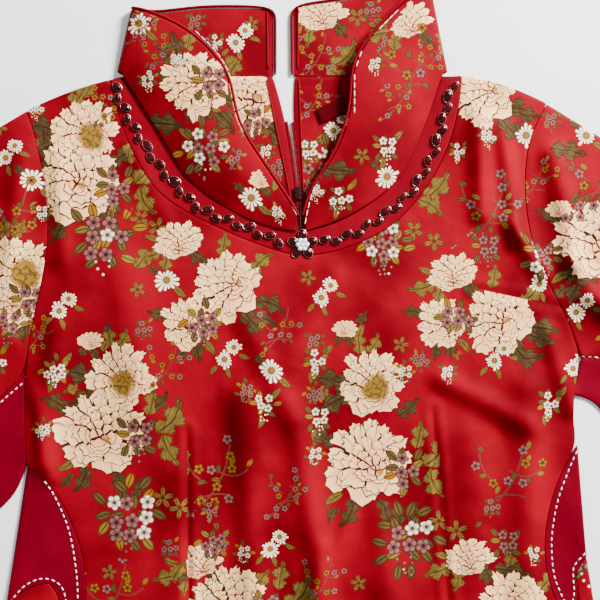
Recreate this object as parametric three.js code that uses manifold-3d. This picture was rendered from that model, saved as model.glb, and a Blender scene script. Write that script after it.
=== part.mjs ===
// A cheongsam laid flat, front up, neck towards +Y. Millimetres, +Z up.
// Each cloth piece is one closed wall. The back, the sleeves' lower layers and the lower layers of the
// side pieces lie on z = 0; the front layers lie on them, lifted by the folds in FOLDS.
import * as THREE from "three";
import { mergeVertices } from "three/addons/utils/BufferGeometryUtils.js";
import Module from "manifold-3d";

const wasm = await Module();
wasm.setup();

// ---------------------------------------------------------------- driving dimensions
const CLOTH = 1.2; // thickness of a wall
const GAP = 0.3; // between neighbours, at seams and between layers
const GRID_ROUNDS = 150; // of evening out the front's plan grid
const HEM_Y = -920; // hem, below the level where neck and shoulder meet
const FRONT_LOW = CLOTH + GAP; // underside of the front layer where nothing lifts it
const FRONT_TOP = FRONT_LOW + CLOTH;
const TURN = 1.6; // how far in from a folded edge the cloth begins to turn
const ZIP_END_Y = -420; // lower end of the back zip
const SLIT_ROWS = 3; // rows of each gore that are slit, up from the hem
const COLLAR_COLUMNS = 5; // cells across a collar, from its base to its free edge
const PIPING_R = 1.3;
const STONE = { length: 9, width: 6, high: 2, pitch: 8.5, sway: 1.4, turn: 0.35 };
const CHAIN_CORE = 1.2;
const FLOWER = { x: 4, y: -127.5, plateR: 4.2, plateHigh: 1, petals: 5, petalReach: 6.3, pearls: 6, pearlR: 1.9 };

// Outlines, in mm right of the centre front and up from the neck and shoulder level.
const SHOULDER_LEFT = [[-202, -27], [-187, -20], [-173, -14], [-156, -8], [-140, -4]];
const SHOULDER_RIGHT = [[123, -1], [141, -4], [156, -8], [171, -14], [187, -22]];
const NECKLINE = [
  [-140, -4], [-133, -34], [-121, -62], [-102, -91], [-65, -112], [-35, -125],
  [4, -137], [39, -129], [75, -111], [107, -68], [120, -30], [123, -1],
];
const COLLAR_LINE = [
  [-132, -3], [-115, -25], [-95, -57], [-69, -88], [-40, -107],
  [4, -118], [44, -104], [77, -77], [95, -37], [108, -2],
];
const BACK_NECK_Y = -1.1;
const CENTRE_BACK_LEFT = [[-18, BACK_NECK_Y], [-15, -11], [-9, -34], [-5, -57], [-2, -79], [-0.9, -93]];
const CENTRE_BACK_RIGHT = [[-2, BACK_NECK_Y], [-3, -28], [-1, -51], [2, -75], [2.9, -93]];
const SEAM_BACK_LEFT = 0.85; // centre back seam below the zip
const SEAM_BACK_RIGHT = 1.15;

// One row for each side of the garment. Every outline runs down from the shoulder; `cells` are how many
// cells each stretch is cut into, and pieces that meet along a stretch share them.
const SIDES = {
  left: {
    armhole: [[-202, -27], [-191, -63], [-186, -98], [-186, -135], [-193, -166], [-201, -202], [-204, -244], [-202, -293]],
    sideSeam: [],
    panelSeam: [[-202, -293], [-190, -298], [-175, -322], [-164, -346], [-158, -372], [-158, -394], [-163, -428]],
    arch: [[-218, -398], [-205, -386], [-189, -380], [-179, -386], [-176, -405], [-164.5, -425.5]],
    goreSeam: [[-163, -428], [-166, -484], [-170, -566], [-176, HEM_Y]],
    foldEdge: [[-218, -398], [-223, -469], [-233, -559], [-245, HEM_Y]],
    overArm: [[-202, -27], [-223, -39], [-285, -86], [-345, -170], [-392, -285]],
    sleeveSeam: [[-201, -226], [-223, -242], [-262, -290], [-300, -340]],
    underArm: [[-202, -293], [-211, -314], [-223, -326], [-264, -362]],
    cells: { armhole: 8, sideSeam: 0, panelSeam: 7, goreSeam: 9, underSleeve: 2, sleeve: 9 },
  },
  right: {
    armhole: [[187, -22], [175, -38], [170, -71], [171, -109], [181, -144], [197, -174], [211, -202], [212, -223], [206, -240]],
    sideSeam: [[206, -240], [206, -259], [210, -277]],
    panelSeam: [[210, -277], [199, -293], [190, -316], [184, -345], [186, -375], [193, -394], [202, -410]],
    arch: [[217, -362], [208, -373], [211, -388], [203.5, -407.5]],
    goreSeam: [[202, -410], [206, -469], [212, -566], [218, HEM_Y]],
    foldEdge: [[217, -362], [225, -394], [231, -469], [239, -559], [248, HEM_Y]],
    overArm: [[187, -22], [227, -47], [285, -88], [345, -165], [395, -270]],
    sleeveSeam: [[211, -212], [227, -209], [262, -245], [297, -326]],
    underArm: [[206, -240], [227, -249], [248, -296], [265, -345]],
    cells: { armhole: 8, sideSeam: 2, panelSeam: 6, goreSeam: 8, underSleeve: 1, sleeve: 9 },
  },
};

// Folds and soft swells of the upper layer: a ridge from start to end, `high` at its crest and fading
// over `wide` each side. A trough has a negative height.
const FOLDS = [
  { name: "bust left", x1: -120, y1: -170, x2: -60, y2: -215, high: 5, wide: 62 },
  { name: "bust right", x1: 70, y1: -205, x2: 130, y2: -165, high: 5, wide: 60 },
  { name: "waist ridge", x1: -25, y1: -253, x2: 14, y2: -410, high: 5, wide: 17 },
  { name: "waist hollow left", x1: -56, y1: -250, x2: -40, y2: -400, high: -2.5, wide: 24 },
  { name: "right waist trough", x1: 111, y1: -244, x2: 158, y2: -268, high: -3, wide: 16 },
  { name: "right waist ridge", x1: 120, y1: -285, x2: 165, y2: -300, high: 2.5, wide: 14 },
  { name: "belly crease", x1: 12, y1: -335, x2: 52, y2: -378, high: 2.5, wide: 12 },
  { name: "left waist ridge", x1: -128, y1: -330, x2: -105, y2: -420, high: 3, wide: 18 },
  { name: "right shoulder ridge", x1: 136, y1: -35, x2: 137, y2: -98, high: 3.2, wide: 11 },
  { name: "right armhole ridge", x1: 150, y1: -118, x2: 168, y2: -136, high: 3, wide: 10 },
  { name: "left shoulder swell", x1: -170, y1: -60, x2: -160, y2: -120, high: 2.5, wide: 24 },
  { name: "left sleeve head", x1: -222, y1: -70, x2: -240, y2: -150, high: 4, wide: 24 },
  { name: "left sleeve crease", x1: -232, y1: -215, x2: -300, y2: -235, high: 4, wide: 15 },
  { name: "left sleeve run", x1: -275, y1: -150, x2: -340, y2: -275, high: 4, wide: 22 },
  { name: "right sleeve head", x1: 205, y1: -75, x2: 232, y2: -135, high: 4, wide: 24 },
  { name: "right sleeve crease", x1: 240, y1: -190, x2: 300, y2: -215, high: 4, wide: 15 },
  { name: "right sleeve run", x1: 275, y1: -130, x2: 335, y2: -255, high: 4, wide: 22 },
  { name: "skirt ridge far left", x1: -128, y1: -560, x2: -150, y2: -890, high: 3.5, wide: 24 },
  { name: "skirt ridge left", x1: -40, y1: -520, x2: -58, y2: -860, high: 4.5, wide: 26 },
  { name: "skirt ridge right", x1: 58, y1: -470, x2: 74, y2: -900, high: 5, wide: 28 },
  { name: "skirt ridge far right", x1: 158, y1: -560, x2: 172, y2: -820, high: 3.5, wide: 24 },
];

// Collar sections from the centre back, round the side fold, to the centre front. The back rows lie
// flat. On the front rows `baseZ` is null, because the base sits just above the neck band.
const COLLARS = {
  left: [
    { baseX: -18, baseY: -0.8, baseZ: 0.6, topX: -18, topY: 49, topZ: 0.6, crown: 0 },
    { baseX: -70, baseY: -0.8, baseZ: 0.6, topX: -69, topY: 49.5, topZ: 0.6, crown: 0 },
    { baseX: -112, baseY: -0.8, baseZ: 0.6, topX: -104, topY: 45.5, topZ: 0.6, crown: 0 },
    { baseX: -126, baseY: -0.8, baseZ: 0.6, topX: -116, topY: 46.5, topZ: 0.6, crown: 0 },
    { baseX: -131.5, baseY: 0, baseZ: 1, topX: -121, topY: 47, topZ: 1.5, crown: 0 },
    { baseX: -134, baseY: 1.5, baseZ: 2.4, topX: -123.5, topY: 47, topZ: 4.5, crown: 0 },
    { baseX: -131.5, baseY: 1.2, baseZ: 3.9, topX: -121, topY: 46.5, topZ: 8, crown: 0.5 },
    { baseX: -128, baseY: -5, baseZ: null, topX: -109, topY: 43, topZ: 10, crown: 1.5 },
    { baseX: -115, baseY: -25, baseZ: null, topX: -81, topY: 30, topZ: 10, crown: 3 },
    { baseX: -95, baseY: -57, baseZ: null, topX: -52.5, topY: 0, topZ: 9.5, crown: 4 },
    { baseX: -81, baseY: -79, baseZ: null, topX: -46, topY: -34, topZ: 8.5, crown: 4 },
    { baseX: -53, baseY: -100, baseZ: null, topX: -28, topY: -64, topZ: 7.5, crown: 3 },
    { baseX: -21, baseY: -114, baseZ: null, topX: -7, topY: -95, topZ: 6, crown: 1 },
    { baseX: -0.5, baseY: -117, baseZ: null, topX: 0.2, topY: -107, topZ: 5, crown: 0 },
  ],
  right: [
    { baseX: -2, baseY: -0.8, baseZ: 0.6, topX: -2.5, topY: 50, topZ: 0.6, crown: 0 },
    { baseX: 47, baseY: -0.8, baseZ: 0.6, topX: 40, topY: 56, topZ: 0.6, crown: 0 },
    { baseX: 88, baseY: -0.8, baseZ: 0.6, topX: 77, topY: 63, topZ: 0.6, crown: 0 },
    { baseX: 103, baseY: -0.8, baseZ: 0.6, topX: 91, topY: 65, topZ: 0.6, crown: 0 },
    { baseX: 109, baseY: 0, baseZ: 1, topX: 96, topY: 65.5, topZ: 1.5, crown: 0 },
    { baseX: 112, baseY: 1.5, baseZ: 2.4, topX: 99, topY: 65, topZ: 4.5, crown: 0 },
    { baseX: 109.5, baseY: 1.2, baseZ: 3.9, topX: 96, topY: 64, topZ: 8, crown: 0.5 },
    { baseX: 106, baseY: -7, baseZ: null, topX: 85, topY: 56, topZ: 10, crown: 1.5 },
    { baseX: 100, baseY: -25, baseZ: null, topX: 62, topY: 34, topZ: 10, crown: 3 },
    { baseX: 92, baseY: -46, baseZ: null, topX: 43, topY: 7, topZ: 10, crown: 4 },
    { baseX: 81, baseY: -71, baseZ: null, topX: 41, topY: -25, topZ: 9, crown: 4 },
    { baseX: 62, baseY: -91, baseZ: null, topX: 29, topY: -60, topZ: 8, crown: 3 },
    { baseX: 34, baseY: -108, baseZ: null, topX: 12, topY: -86, topZ: 6.5, crown: 1.5 },
    { baseX: 6.5, baseY: -117, baseZ: null, topX: 5.6, topY: -107, topZ: 5, crown: 0 },
  ],
};

const CHAINS = {
  left: [[-135.5, -10], [-131, -22], [-121, -41], [-110, -59], [-94, -79], [-72, -100], [-44, -112], [-13, -125]],
  right: [[21, -125], [43, -119], [68, -103], [88, -84], [103, -56], [112, -24], [116, -9]],
};

// ---------------------------------------------------------------- materials
const material = (color, roughness, metalness = 0) =>
  new THREE.MeshStandardMaterial({ color, roughness, metalness });
const PRINT = [0xb5121b, 0.75];
const PLAIN_RED = [0xb0101a, 0.7];
const CRIMSON = [0x8c0a18, 0.7];
const GARNET = [0x4a0d12, 0.2, 0.3];
const PEARL = [0xe8e6e2, 0.15, 0.2];
const ZIP_GREY = [0x55504f, 0.5, 0.2];

// ---------------------------------------------------------------- cloth
/** Height that the folds give the upper layer at a point of the plan. */
function lift(x, y) {
  let sum = 0;
  for (const { x1, y1, x2, y2, high, wide } of FOLDS) {
    const along = ((x - x1) * (x2 - x1) + (y - y1) * (y2 - y1)) / ((x2 - x1) ** 2 + (y2 - y1) ** 2);
    const t = THREE.MathUtils.clamp(along, 0, 1);
    const away = Math.hypot(x - x1 - t * (x2 - x1), y - y1 - t * (y2 - y1)) / wide;
    sum += high * Math.exp(-away * away);
  }
  return Math.max(0, sum);
}

/** A smooth curve through an outline's points, cut into equal cells. */
function sampled(outline, cells) {
  if (cells === 0) return [];
  const points = outline.map(([x, y]) => new THREE.Vector2(x, y));
  return new THREE.SplineCurve(points).getSpacedPoints(cells);
}

/** Stretches that follow each other, joined into one row of points. */
function joined(...stretches) {
  const kept = stretches.filter((stretch) => stretch.length > 0);
  return kept.flatMap((stretch, i) => (i === 0 ? stretch : stretch.slice(1)));
}

/** A point for each of the given shares of the way from one point to another. */
const spread = (from, to, shares) => shares.map((share) => from.clone().lerp(to, share));

/** How far along each point of a row lies, from 0 to 1, measured by arc length. */
function shares(row) {
  const lengths = [0];
  for (let i = 1; i < row.length; i += 1) lengths.push(lengths[i - 1] + row[i].distanceTo(row[i - 1]));
  return lengths.map((length) => length / lengths.at(-1));
}

/** A plan grid between four edges: rows run from `top` to `bottom`, columns from `left` to `right`. */
function patch(top, bottom, left, right) {
  const across = shares(bottom);
  const down = shares(left);
  return left.map((leftPoint, j) =>
    top.map((topPoint, i) => {
      const [u, v] = [across[i], down[j]];
      const corner = (point, weight) => new THREE.Vector2().copy(point).multiplyScalar(-weight);
      return new THREE.Vector2()
        .addScaledVector(topPoint, 1 - v)
        .addScaledVector(bottom[i], v)
        .addScaledVector(leftPoint, 1 - u)
        .addScaledVector(right[j], u)
        .add(corner(left[0], (1 - u) * (1 - v)))
        .add(corner(right[0], u * (1 - v)))
        .add(corner(left.at(-1), (1 - u) * v))
        .add(corner(right.at(-1), u * v));
    }),
  );
}

/** A plan grid with its inner points moved until none of its lines cross (Winslow's equations). */
function untangled(grid) {
  for (let round = 0; round < GRID_ROUNDS; round += 1) {
    for (let j = 1; j < grid.length - 1; j += 1) {
      for (let i = 1; i < grid[0].length - 1; i += 1) {
        const [before, after, above, below] = [grid[j][i - 1], grid[j][i + 1], grid[j - 1][i], grid[j + 1][i]];
        const along = after.clone().sub(before);
        const down = below.clone().sub(above);
        const twist = grid[j + 1][i + 1].clone().sub(grid[j + 1][i - 1]).sub(grid[j - 1][i + 1]).add(grid[j - 1][i - 1]);
        const [a, b, c] = [down.lengthSq(), along.dot(down), along.lengthSq()];
        grid[j][i]
          .copy(before.clone().add(after).multiplyScalar(a))
          .addScaledVector(above.clone().add(below), c)
          .addScaledVector(twist, -b / 2)
          .divideScalar(2 * (a + c));
      }
    }
  }
  return grid;
}

/** The same grid with its border moved in by half a gap, so that neighbours stay parted. */
function parted(grid) {
  const [rows, columns] = [grid.length - 1, grid[0].length - 1];
  const border = [
    ...grid[0].slice(0, columns),
    ...grid.slice(0, rows).map((row) => row[columns]),
    ...grid[rows].slice(1).reverse(),
    ...grid.slice(1).map((row) => row[0]).reverse(),
  ];
  const inward = THREE.ShapeUtils.area(border) > 0 ? 1 : -1;
  const moved = new Map();
  border.forEach((point, i) => {
    const before = point.clone().sub(border.at(i - 1)).normalize();
    const after = border[(i + 1) % border.length].clone().sub(point).normalize();
    const normal = new THREE.Vector2(-before.y - after.y, before.x + after.x);
    const mitre = Math.min(2, 1 / Math.max(0.2, (1 + before.dot(after)) / 2));
    moved.set(point, normal.multiplyScalar((inward * GAP * mitre) / 4).add(point));
  });
  return grid.map((row) => row.map((point) => moved.get(point) ?? point));
}

/** A closed body between two matching grids of points. `keep` drops cells, for a slit. */
function wall(outer, inner, keep = () => true) {
  const [rows, columns] = [outer.length, outer[0].length];
  const positions = [...outer.flat(), ...inner.flat()].flatMap((point) => point.toArray());
  const outerAt = (j, i) => j * columns + i;
  const innerAt = (j, i) => rows * columns + outerAt(j, i);
  const indices = [];
  const quad = (a, b, c, d) => indices.push(a, b, c, a, c, d);
  const kept = (j, i) => j >= 0 && i >= 0 && j < rows - 1 && i < columns - 1 && keep(j, i);
  for (let j = 0; j < rows - 1; j += 1) {
    for (let i = 0; i < columns - 1; i += 1) {
      if (!kept(j, i)) continue;
      quad(outerAt(j, i), outerAt(j + 1, i), outerAt(j + 1, i + 1), outerAt(j, i + 1));
      quad(innerAt(j, i), innerAt(j, i + 1), innerAt(j + 1, i + 1), innerAt(j + 1, i));
      const rim = (j1, i1, j2, i2) => quad(outerAt(j1, i1), innerAt(j1, i1), innerAt(j2, i2), outerAt(j2, i2));
      if (!kept(j - 1, i)) rim(j, i + 1, j, i);
      if (!kept(j + 1, i)) rim(j + 1, i, j + 1, i + 1);
      if (!kept(j, i - 1)) rim(j, i, j + 1, i);
      if (!kept(j, i + 1)) rim(j + 1, i + 1, j, i + 1);
    }
  }
  return outwards(positions, indices);
}

/** A geometry from points and triangles, turned so that its faces point out. */
function outwards(positions, indices) {
  let volume = 0;
  const corner = (index) => new THREE.Vector3().fromArray(positions, index * 3);
  for (let i = 0; i < indices.length; i += 3) {
    const [a, b, c] = [corner(indices[i]), corner(indices[i + 1]), corner(indices[i + 2])];
    volume += a.dot(b.cross(c));
  }
  const turned = volume < 0 ? indices.toReversed() : indices;
  const geometry = new THREE.BufferGeometry();
  geometry.setAttribute("position", new THREE.Float32BufferAttribute(positions, 3));
  geometry.setIndex(turned);
  return geometry;
}

/** A grid of plan points raised to a height, which is a number or a function of x and y. */
const raised = (grid, height) =>
  grid.map((row) => row.map(({ x, y }) => new THREE.Vector3(x, y, height(x, y))));

const topHeight = (x, y) => FRONT_TOP + lift(x, y);

/** A piece of the upper layer. */
const upperPiece = (grid) => {
  const plan = parted(grid);
  return wall(raised(plan, topHeight), raised(plan, (x, y) => topHeight(x, y) - CLOTH));
};

/** A piece of the back, flat on the ground. */
const lowerPiece = (grid) => {
  const plan = parted(grid);
  return wall(raised(plan, () => CLOTH), raised(plan, () => 0));
};

/** A piece that turns round the edge in its first column: upper layer, edge, lower layer. */
function foldedPiece(grid, slitRows = 0) {
  const outer = [];
  const inner = [];
  for (const row of parted(grid)) {
    const [edge, ...rest] = row;
    const inwards = rest[0].clone().sub(edge).normalize();
    const turned = edge.clone().addScaledVector(inwards, TURN);
    const layer = [...rest.toReversed(), turned];
    const at = ({ x, y }, z) => new THREE.Vector3(x, y, z);
    const crest = topHeight(edge.x, edge.y);
    outer.push([
      ...layer.map((point) => at(point, topHeight(point.x, point.y))),
      at(edge, crest / 2),
      ...layer.toReversed().map((point) => at(point, 0)),
    ]);
    inner.push([
      ...layer.map((point) => at(point, topHeight(point.x, point.y) - CLOTH)),
      at(edge.clone().addScaledVector(inwards, CLOTH), crest / 2),
      ...layer.toReversed().map((point) => at(point, CLOTH)),
    ]);
  }
  const edgeColumn = grid[0].length;
  const onEdge = (i) => i === edgeColumn - 1 || i === edgeColumn;
  return wall(outer, inner, (j, i) => !(onEdge(i) && j >= grid.length - 1 - slitRows));
}

// ---------------------------------------------------------------- bands, cords and stones
/** A collar half: its sections smoothed, and given thickness along the surface's normals. */
function collarSheet(sections) {
  const seat = ({ baseX, baseY, baseZ }) => baseZ ?? topHeight(baseX, baseY) + GAP + CLOTH / 2;
  const base = new THREE.CatmullRomCurve3(
    sections.map((row) => new THREE.Vector3(row.baseX, row.baseY, seat(row))), false, "centripetal");
  const top = new THREE.CatmullRomCurve3(
    sections.map((row) => new THREE.Vector3(row.topX, row.topY, row.topZ)), false, "centripetal");
  const steps = 2 * (sections.length - 1);
  return Array.from({ length: steps + 1 }, (_, j) => {
    const [low, high] = [base.getPoint(j / steps), top.getPoint(j / steps)];
    const before = sections[Math.floor(j / 2)];
    const crown = (before.crown + sections[Math.ceil(j / 2)].crown) / 2;
    return Array.from({ length: COLLAR_COLUMNS + 1 }, (_, i) => {
      const point = low.clone().lerp(high, i / COLLAR_COLUMNS);
      point.z += crown * Math.sin((Math.PI * i) / COLLAR_COLUMNS);
      point.z = Math.max(point.z, CLOTH / 2);
      return point;
    });
  });
}

/** A wall of the cloth's thickness on both sides of a sheet of points. */
function thickened(sheet) {
  const [lastRow, lastColumn] = [sheet.length - 1, sheet[0].length - 1];
  const offset = (side) => sheet.map((row, j) => row.map((point, i) => {
    const along = sheet[Math.min(j + 1, lastRow)][i].clone().sub(sheet[Math.max(j - 1, 0)][i]);
    const across = row[Math.min(i + 1, lastColumn)].clone().sub(row[Math.max(i - 1, 0)]);
    const moved = along.cross(across).normalize().multiplyScalar((side * CLOTH) / 2).add(point);
    moved.z = Math.max(moved.z, 0);
    return moved;
  }));
  return wall(offset(1), offset(-1));
}

/** A cord with a six-sided section, and one ring of it at each of the points. */
function cordGeometry(points, radius) {
  const section = Array.from({ length: 6 }, (_, i) => {
    const angle = (i * Math.PI) / 3;
    return new THREE.Vector2(radius * Math.cos(angle), radius * Math.sin(angle));
  });
  const extrudePath = new THREE.CatmullRomCurve3(points, false, "centripetal");
  extrudePath.getUtoTmapping = (u) => u; // rings at the points, not evenly spaced
  const steps = points.length - 1;
  return new THREE.ExtrudeGeometry(new THREE.Shape(section), { steps, extrudePath, bevelEnabled: false });
}

/** The piping round a collar half: up the centre back, then along the free edge to the front. */
function pipingPath(sheet) {
  const away = PIPING_R + GAP + 0.1;
  const clear = (point) => point.setZ(Math.max(point.z, PIPING_R + 0.1));
  const beyond = (from, to, along) => {
    const out = to.clone().sub(from);
    out.addScaledVector(along, -out.dot(along) / along.lengthSq()).normalize();
    return clear(to.clone().addScaledVector(out, away));
  };
  const [firstRow, secondRow] = sheet;
  const upwards = new THREE.Vector3(0, 1, 0);
  const backEdge = firstRow.slice(0, -1).map((point, i) => beyond(secondRow[i], point, upwards));
  const outwardX = Math.sign(backEdge[0].x - firstRow[0].x) * away;
  const corner = firstRow.at(-1).clone().add(new THREE.Vector3(outwardX, away, 0));
  const last = sheet.length - 1;
  const freeEdge = sheet.slice(1).map((row, i) => {
    const along = sheet[Math.min(i + 2, last)].at(-1).clone().sub(sheet[i].at(-1));
    return beyond(row.at(-2), row.at(-1), along);
  });
  return [...backEdge, clear(corner), ...freeEdge];
}

/** A cut stone lying flat: a six-sided girdle and a smaller table above it. */
function stoneGeometry(length, width, high) {
  const profile = [[0, 0], [0.5, 0], [0.36, 1], [0, 1]];
  const geometry = new THREE.LatheGeometry(profile.map(([x, y]) => new THREE.Vector2(x, y)), 6);
  return geometry.rotateX(Math.PI / 2).scale(length, width, high);
}

function solidOf(geometry) {
  const bare = new THREE.BufferGeometry();
  bare.setAttribute("position", geometry.attributes.position);
  bare.setIndex(geometry.index);
  const merged = mergeVertices(bare, 1e-4);
  const corners = merged.index.array;
  const kept = [];
  for (let i = 0; i < corners.length; i += 3) {
    const [a, b, c] = corners.slice(i, i + 3);
    if (a !== b && b !== c && c !== a) kept.push(a, b, c);
  }
  const turned = outwards([...merged.attributes.position.array], kept);
  return new wasm.Manifold(new wasm.Mesh({
    numProp: 3,
    vertProperties: new Float32Array(turned.attributes.position.array),
    triVerts: new Uint32Array(turned.index.array),
  }));
}

function united(geometries) {
  const mesh = geometries.map(solidOf).reduce((all, next) => all.add(next)).getMesh();
  const geometry = new THREE.BufferGeometry();
  geometry.setAttribute("position", new THREE.BufferAttribute(mesh.vertProperties, 3));
  geometry.setIndex(new THREE.BufferAttribute(mesh.triVerts, 1));
  return geometry;
}

/** A string of stones on a thin core, which lies on the neck band. */
function chainGeometry(outline) {
  const curve = new THREE.SplineCurve(outline.map(([x, y]) => new THREE.Vector2(x, y)));
  const count = Math.round(curve.getLength() / STONE.pitch);
  const centres = curve.getSpacedPoints(count);
  const core = centres.map(({ x, y }) => new THREE.Vector3(x, y, topHeight(x, y) + GAP + CHAIN_CORE / 2));
  const stones = centres.map(({ x, y }, i) => {
    const tangent = curve.getTangentAt(i / count);
    const side = i % 2 === 0 ? 1 : -1;
    const turn = Math.atan2(tangent.y, tangent.x) + side * STONE.turn;
    const big = i % 4 === 2 ? 1.15 : 1;
    return stoneGeometry(STONE.length * big, STONE.width * big, STONE.high)
      .rotateZ(turn)
      .translate(
        x - tangent.y * side * STONE.sway,
        y + tangent.x * side * STONE.sway,
        topHeight(x, y) + GAP,
      );
  });
  return united([cordGeometry(core, CHAIN_CORE / 2), ...stones]);
}

function flowerGeometry() {
  const { x, y, plateR, plateHigh, petals, petalReach, pearls, pearlR } = FLOWER;
  const seat = topHeight(x, y) + GAP;
  const ring = (count, reach, start, make) => Array.from({ length: count }, (_, i) => {
    const angle = start + (i * 2 * Math.PI) / count;
    return make(angle).translate(reach * Math.cos(angle), reach * Math.sin(angle), 0);
  });
  const pearl = () => new THREE.SphereGeometry(pearlR, 6, 4).translate(0, 0, plateHigh + pearlR * 0.6);
  const plate = new THREE.CylinderGeometry(plateR, plateR, plateHigh, 16)
    .rotateX(Math.PI / 2)
    .translate(0, 0, plateHigh / 2);
  const parts = [
    plate,
    ...ring(petals, petalReach, Math.PI / 2, (angle) => stoneGeometry(7, 5.4, 2).rotateZ(angle)),
    ...ring(pearls, 3.1, 0, pearl),
    pearl(),
  ];
  return united(parts).translate(x, y, seat);
}

// ---------------------------------------------------------------- the garment
const garment = new THREE.Group();

function add(name, geometry, [color, roughness, metalness]) {
  const mesh = new THREE.Mesh(geometry, material(color, roughness, metalness));
  mesh.name = name;
  garment.add(mesh);
}

const point = (x, y) => new THREE.Vector2(x, y);
const even = (cells) => Array.from({ length: cells + 1 }, (_, i) => i / cells);

const seams = Object.fromEntries(Object.entries(SIDES).map(([side, { cells, ...outline }]) => [side, {
  armhole: sampled(outline.armhole, cells.armhole),
  sideSeam: sampled(outline.sideSeam, cells.sideSeam),
  panelSeam: sampled(outline.panelSeam, cells.panelSeam),
  arch: sampled(outline.arch, cells.panelSeam),
  goreSeam: sampled(outline.goreSeam, cells.goreSeam),
  foldEdge: sampled(outline.foldEdge, cells.goreSeam),
}]));
const bodyEdge = (side) => {
  const { armhole, sideSeam, panelSeam, goreSeam } = seams[side];
  return joined(armhole, sideSeam, panelSeam, goreSeam);
};

const SHOULDER_CELLS = 3;
const NECK_CELLS = 18;
const shoulderLeft = sampled(SHOULDER_LEFT, SHOULDER_CELLS);
const shoulderRight = sampled(SHOULDER_RIGHT, SHOULDER_CELLS);
const neckline = sampled(NECKLINE, NECK_CELLS);

function front() {
  const top = joined(shoulderLeft, neckline, shoulderRight);
  const [left, right] = [bodyEdge("left"), bodyEdge("right")];
  const wide = top.at(-1).x - top[0].x;
  const hem = spread(left.at(-1), right.at(-1), top.map(({ x }) => (x - top[0].x) / wide));
  add("front", upperPiece(untangled(patch(top, hem, left, right))), PRINT);
}

function neckBand() {
  const inner = sampled(COLLAR_LINE, NECK_CELLS);
  const ends = (from, to) => spread(from, to, even(2));
  const grid = patch(inner, neckline, ends(inner[0], neckline[0]), ends(inner.at(-1), neckline.at(-1)));
  add("neck_band", upperPiece(grid), PLAIN_RED);
}

/** Centre back edge: open along the zip's upper part, then straight down to the hem. */
function centreBack(outline, seamX, rows) {
  const [zipX, openEnd] = outline.at(-1);
  const open = sampled(outline, 6);
  const zipped = spread(point(zipX, openEnd), point(zipX, ZIP_END_Y), even(8));
  const sewn = spread(point(seamX, ZIP_END_Y - 6), point(seamX, HEM_Y), even(rows - 15));
  return [...joined(open, zipped), ...sewn];
}

function back() {
  const leftEdge = bodyEdge("left");
  const rightEdge = bodyEdge("right");
  const rows = leftEdge.length - 1;
  const middleLeft = centreBack(CENTRE_BACK_LEFT, SEAM_BACK_LEFT, rows);
  const middleRight = centreBack(CENTRE_BACK_RIGHT, SEAM_BACK_RIGHT, rows);
  const neckLeft = spread(point(-133, BACK_NECK_Y), middleLeft[0], even(4));
  const neckRight = spread(middleRight[0], point(110, BACK_NECK_Y), even(4));
  const topLeft = [...shoulderLeft, ...neckLeft];
  const topRight = [...neckRight, ...shoulderRight];
  const hem = (from, to, top) => spread(from, to, shares(top));
  add("back_left", lowerPiece(patch(
    topLeft, hem(leftEdge.at(-1), middleLeft.at(-1), topLeft), leftEdge, middleLeft)), PRINT);
  add("back_right", lowerPiece(patch(
    topRight, hem(middleRight.at(-1), rightEdge.at(-1), topRight), middleRight, rightEdge)), PRINT);
}

function sleeve(side) {
  const { overArm, sleeveSeam, underArm, cells } = SIDES[side];
  const { armhole } = seams[side];
  const meeting = armhole.length - 1 - cells.underSleeve;
  const over = sampled(overArm, cells.sleeve);
  const seam = sampled([armhole[meeting].toArray(), ...sleeveSeam.slice(1)], cells.sleeve);
  const under = sampled(underArm, cells.sleeve);
  const upperHead = armhole.slice(0, meeting + 1);
  const lowerHead = armhole.slice(meeting).toReversed();
  const cuff = (from, to, cellCount) => spread(from, to, even(cellCount));
  add(`sleeve_${side}`, foldedPiece(patch(
    upperHead, cuff(over.at(-1), seam.at(-1), meeting), over, seam)), PRINT);
  add(`under_sleeve_${side}`, foldedPiece(patch(
    lowerHead, cuff(under.at(-1), seam.at(-1), cells.underSleeve), under, seam)), CRIMSON);
}

function sidePieces(side) {
  const { panelSeam, arch, goreSeam, foldEdge } = seams[side];
  const edge = spread(arch[0], panelSeam[0], even(2));
  const tip = spread(arch.at(-1), panelSeam.at(-1), even(2));
  add(`side_panel_${side}`, foldedPiece(patch(arch, panelSeam, edge, tip)), CRIMSON);
  const seam = [arch.at(-1), ...goreSeam.slice(1)];
  const hem = spread(foldEdge.at(-1), seam.at(-1), even(arch.length - 1));
  add(`side_gore_${side}`, foldedPiece(patch(arch, hem, foldEdge, seam), SLIT_ROWS), PRINT);
}

function collar(side) {
  const sheet = collarSheet(COLLARS[side]);
  add(`collar_${side}`, thickened(sheet), PRINT);
  add(`piping_${side}`, cordGeometry(pipingPath(sheet), PIPING_R), PLAIN_RED);
}

/** One zip tape with its chain: a narrow strip beside a centre back edge. */
function zipTape(side, outline) {
  const ZIP_START_Y = -34;
  const into = side === "left" ? 1 : -1;
  const [wide, high] = [1.45, 1.5];
  const edge = [...sampled(outline, 8).filter(({ y }) => y < ZIP_START_Y), point(outline.at(-1)[0], ZIP_END_Y)];
  const grid = edge.map(({ x, y }) => [point(x + into * GAP, y), point(x + into * (GAP + wide), y)]);
  add(`zip_${side}`, wall(raised(grid, () => high), raised(grid, () => 0)), ZIP_GREY);
}

function zip() {
  zipTape("left", CENTRE_BACK_LEFT);
  zipTape("right", CENTRE_BACK_RIGHT);
  const slider = new THREE.CylinderGeometry(3.4, 2.6, 9, 6).scale(1, 1, 0.25);
  add("zip_slider", slider.translate(1, -89, 1.5 + GAP + 0.85), ZIP_GREY);
}

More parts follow.
